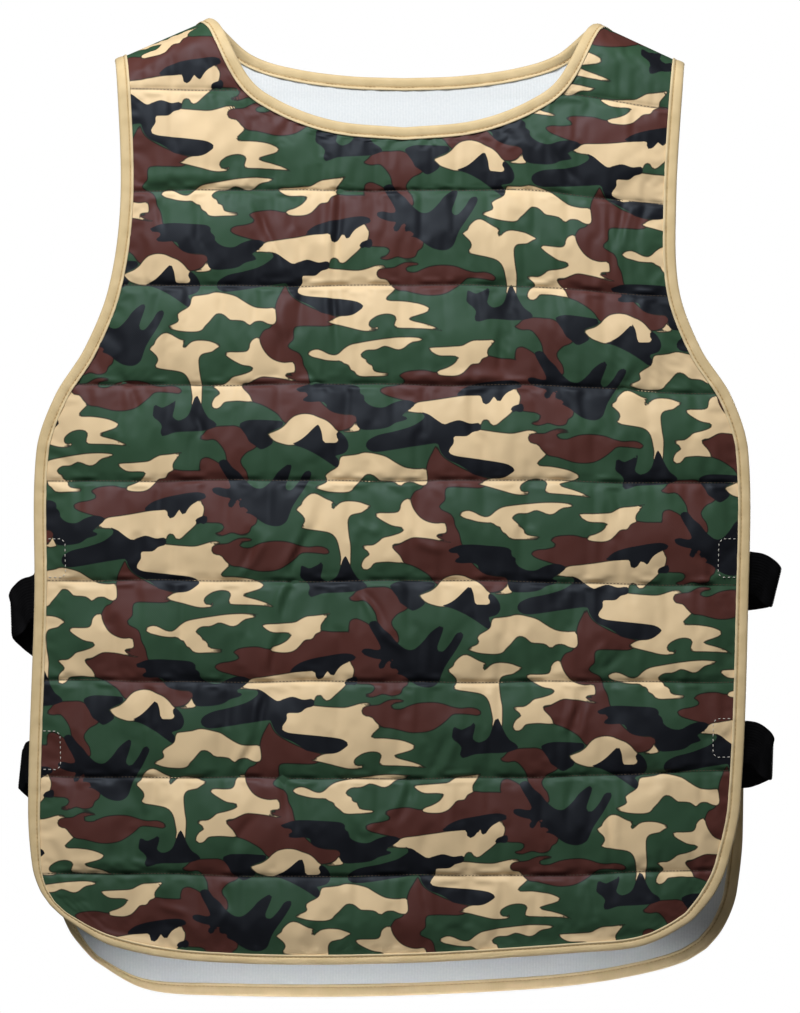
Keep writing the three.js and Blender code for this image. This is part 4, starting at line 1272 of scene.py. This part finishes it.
# A row of stitches along a path: each is a short thread of round section that rises in an arch out of the
# cloth and tapers where it dips back in
def stitchRow(path, outward, look):
    run = runOf(path)
    count = int(run[-1] // (look["length"] + look["gap"]))
    if count < 1:
        return np.zeros((0, stitches["rings"], stitches["sides"], 3))
    share = np.linspace(-0.5, 0.5, stitches["rings"])
    at = ((np.arange(count) + 0.5) * run[-1] / count)[:, None] + share * look["length"]
    centre, normal = alongPath(at, run, path), unit(alongPath(at, run, outward))
    along = unit(np.gradient(centre, axis=1))
    side = np.cross(normal, along)
    centre = centre + normal * (look["rise"] * (1 - 2.2 * (2 * share) ** 4))[None, :, None]
    thick = look["radius"] * np.sqrt(1 - 0.75 * (2 * share) ** 4)[None, :, None, None]
    angle = np.arange(stitches["sides"]) / stitches["sides"] * 2 * math.pi
    ring = side[:, :, None] * np.cos(angle)[:, None] + normal[:, :, None] * np.sin(angle)[:, None]
    return centre[:, :, None] + thick * ring


def putStitches(name, rows, material):
    points = np.concatenate(rows)
    count, rings, sides = points.shape[:3]
    offset = (np.arange(count) * rings * sides)[:, None, None]
    walls = (tubeFaces(rings, sides, closed=False)[None] + offset).reshape(-1, 4)
    first = (np.arange(sides)[::-1] + offset[:, 0]).tolist()
    last = (np.arange(sides) + (rings - 1) * sides + offset[:, 0]).tolist()
    piece = putMesh(name, points.reshape(-1, 3), walls.tolist() + first + last, material)
    print(f"{name}: {count} stitches")
    return piece


def quiltStitches(panel):  # along the rows of the grid that lie on the lines, outside and inside
    shell = shells[panel]
    rows = []
    for k, row in enumerate(lineRows(quilt["bands"])):
        x, down = shell["x"][row], shell["down"][row]
        shown = shell["fromEdge"][row] > stitches["fromEdge"]
        shown = shown & (np.abs(shell["channel"][row] - k) < stitches["onLine"])
        for half in ((x < 0, x >= 0) if k == 0 else (x > -1000,)):
            part = shown & half
            outward = outwardAt(panel, x[part], down[part])
            rows.append(stitchRow(shell["points"][row][part], outward, stitches["quilt"]))
            inside = clothAt(panel, x[part], down[part], lining["inner"] - 0.1)
            rows.append(stitchRow(inside, -outward, stitches["quilt"]))
    return putStitches(f"{panel}_quilting_thread", rows, quiltThread)


def bindStitches():  # along both legs of the tape, in the groove that they press into it
    rows = []
    for panel in panels:
        for edge in ("outer", "neck"):
            path, inward = boundEdge(panel, edge, binding["step"])
            place = path + inward * tapeWidth(panel, path) * tapeSeam
            outward = outwardAt(panel, place[:, 0], place[:, 1])
            for leg in (1, -1):
                thread = clothAt(panel, place[:, 0], place[:, 1], leg * binding["threadLift"])
                rows.append(stitchRow(thread, leg * outward, stitches["bind"]))
    return putStitches("binding_thread", rows, bindThread)


# A place on the finished outer cloth below its second line, by its row and column on the grid
def shellAt(panel, x, down):
    shell = shells[panel]
    middle = shell["channel"][:, quilt["columns"] // 2]
    row = np.interp(channelAt(panel, x, down), middle, np.arange(len(middle)))
    j = np.clip(row.astype(int), 0, len(shell["x"]) - 2)
    left, right = shell["x"][j, 0], shell["x"][j, -1]
    column = (x - left) / (right - left) * quilt["columns"]
    i = np.clip(column.astype(int), 0, quilt["columns"] - 1)
    v, u = (row - j)[:, None], (column - i)[:, None]
    p = shell["points"]
    return mix(mix(p[j, i], p[j, i + 1], u), mix(p[j + 1, i], p[j + 1, i + 1], u), v)


sewnBox = {
    "start": 9.6,  # in from the panel's edge
    "inner": 23.0,
    "half": 13.6,  # half its height
    "corner": 2.6,
    "along": 0.8,  # share of its length where a corner begins
    "step": 0.8,
}


# Box of stitches that holds a strap: in from the binding, down and out again, with rounded corners
def boxStitches():
    rows = []
    half, corner = sewnBox["half"], sewnBox["corner"]
    behindStrap = -(quilt["pressed"] + strap["gap"] + strap["thickness"])
    for side, front, _, _, back, *_ in strapRows.values():
        for panel, level in (("front", front), ("back", back)):
            edge = float(sideAt(panel, np.float64(level), side))
            start, inner = edge - side * sewnBox["start"], edge - side * sewnBox["inner"]
            turn = mix(start, inner, sewnBox["along"])
            x, down = evenly(np.array([
                (start, level - half), (turn, level - half), (inner, level - half + corner),
                (inner, level + half - corner), (turn, level + half), (start, level + half),
            ]), sewnBox["step"]).T
            outward = outwardAt(panel, x, down)
            rows.append(stitchRow(shellAt(panel, x, down), outward, stitches["box"]))
            rows.append(stitchRow(clothAt(panel, x, down, behindStrap), -outward, stitches["box"]))
    return putStitches("strap_box_thread", rows, boxThread)


for panel in panels:
    quiltStitches(panel)
bindStitches()
boxStitches()


# Stage: a round pale floor, soft lights before and behind, white all round and the camera straight on
studio = {
    "floor": -1.9,
    "radius": 2.6,
    "key": {"place": (-0.35, -1.5, 1.2), "aim": (0, 0, 0.05), "size": (1.0, 1.0), "power": 54.5},
    # Low lights that reach the lining and the tape under the front hem
    "card": {"place": (0, 0.02, -0.88), "aim": (0, 0.03, 0), "size": (0.56, 0.08), "power": 0.35},
    "hem": {
        "place": (0, -1.0, -0.722), "aim": (0, 0, -0.722), "size": (0.7, 0.02), "power": 0.19, "spread": 8,
    },
    "back": {"place": (0.9, 1.9, -0.2), "aim": (0, 0, -0.35), "size": (1.0, 0.7), "power": 21, "spread": 110},
    "sky": 0.075,
    "paint": 0.8,
    "glow": 0.5,  # light of the floor's own, so that it stays pale
}
viewing = {"distance": 2.4, "level": -0.3464, "lens": 119.3}


def makeStage():
    angle = np.linspace(0, 2 * math.pi, 96, endpoint=False)
    rim = np.stack([np.cos(angle), np.sin(angle), np.zeros_like(angle)], 1) * studio["radius"]
    mesh = bpy.data.meshes.new("stage")
    mesh.from_pydata((rim + [0, 0, studio["floor"]]).tolist(), [], [list(range(len(rim)))])
    material, _, _ = blankMaterial(
        "paleFloor", Base_Color=(*[studio["paint"]] * 3, 1), Roughness=0.95, Specular_IOR_Level=0.1,
        Emission_Color=(1, 1, 1, 1), Emission_Strength=studio["glow"],
    )
    mesh.materials.append(material)
    sheet = bpy.data.objects.new("stage", mesh)
    sheet.visible_diffuse = sheet.visible_glossy = False  # it throws no light back at the vest
    bpy.context.scene.collection.objects.link(sheet)


def makeSky():  # faint even light, and plain white where the picture shows no object
    world = bpy.data.worlds.new("sky")
    world.use_nodes = True
    tree = world.node_tree
    faint = tree.nodes["Background"]
    faint.inputs["Color"].default_value = (1, 1, 1, 1)
    faint.inputs["Strength"].default_value = studio["sky"]
    paper = addNode(tree, "ShaderNodeBackground", inputs={"Color": (1, 1, 1, 1), "Strength": 1.0})
    seen = addNode(tree, "ShaderNodeLightPath").outputs["Is Camera Ray"]
    both = addNode(tree, "ShaderNodeMixShader", inputs={0: seen, 1: faint.outputs[0], 2: paper.outputs[0]})
    tree.links.new(both.outputs[0], tree.nodes["World Output"].inputs["Surface"])
    bpy.context.scene.world = world


def makeLight(name, place, aim, size, power, spread=180):
    light = bpy.data.lights.new(name, "AREA")
    light.shape = "RECTANGLE"
    light.size, light.size_y = size
    light.energy = power
    light.spread = math.radians(spread)
    lamp = bpy.data.objects.new(name, light)
    bpy.context.scene.collection.objects.link(lamp)
    lamp.location = place
    lamp.visible_camera = False
    towards = lamp.location.copy()
    towards.xyz = aim
    lamp.rotation_euler = (towards - lamp.location).to_track_quat("-Z", "Y").to_euler()


makeStage()
for name in ("key", "card", "hem", "back"):
    makeLight(name, **studio[name])
makeSky()
bpy.context.scene.view_settings.view_transform = "Standard"
camera = bpy.data.objects.new("camera", bpy.data.cameras.new("camera"))
camera.data.lens = viewing["lens"]
camera.location = (0, -viewing["distance"], viewing["level"])
camera.rotation_euler = (math.pi / 2, 0, 0)
bpy.context.scene.collection.objects.link(camera)
bpy.context.scene.camera = camera
print("stage, lights and camera made")
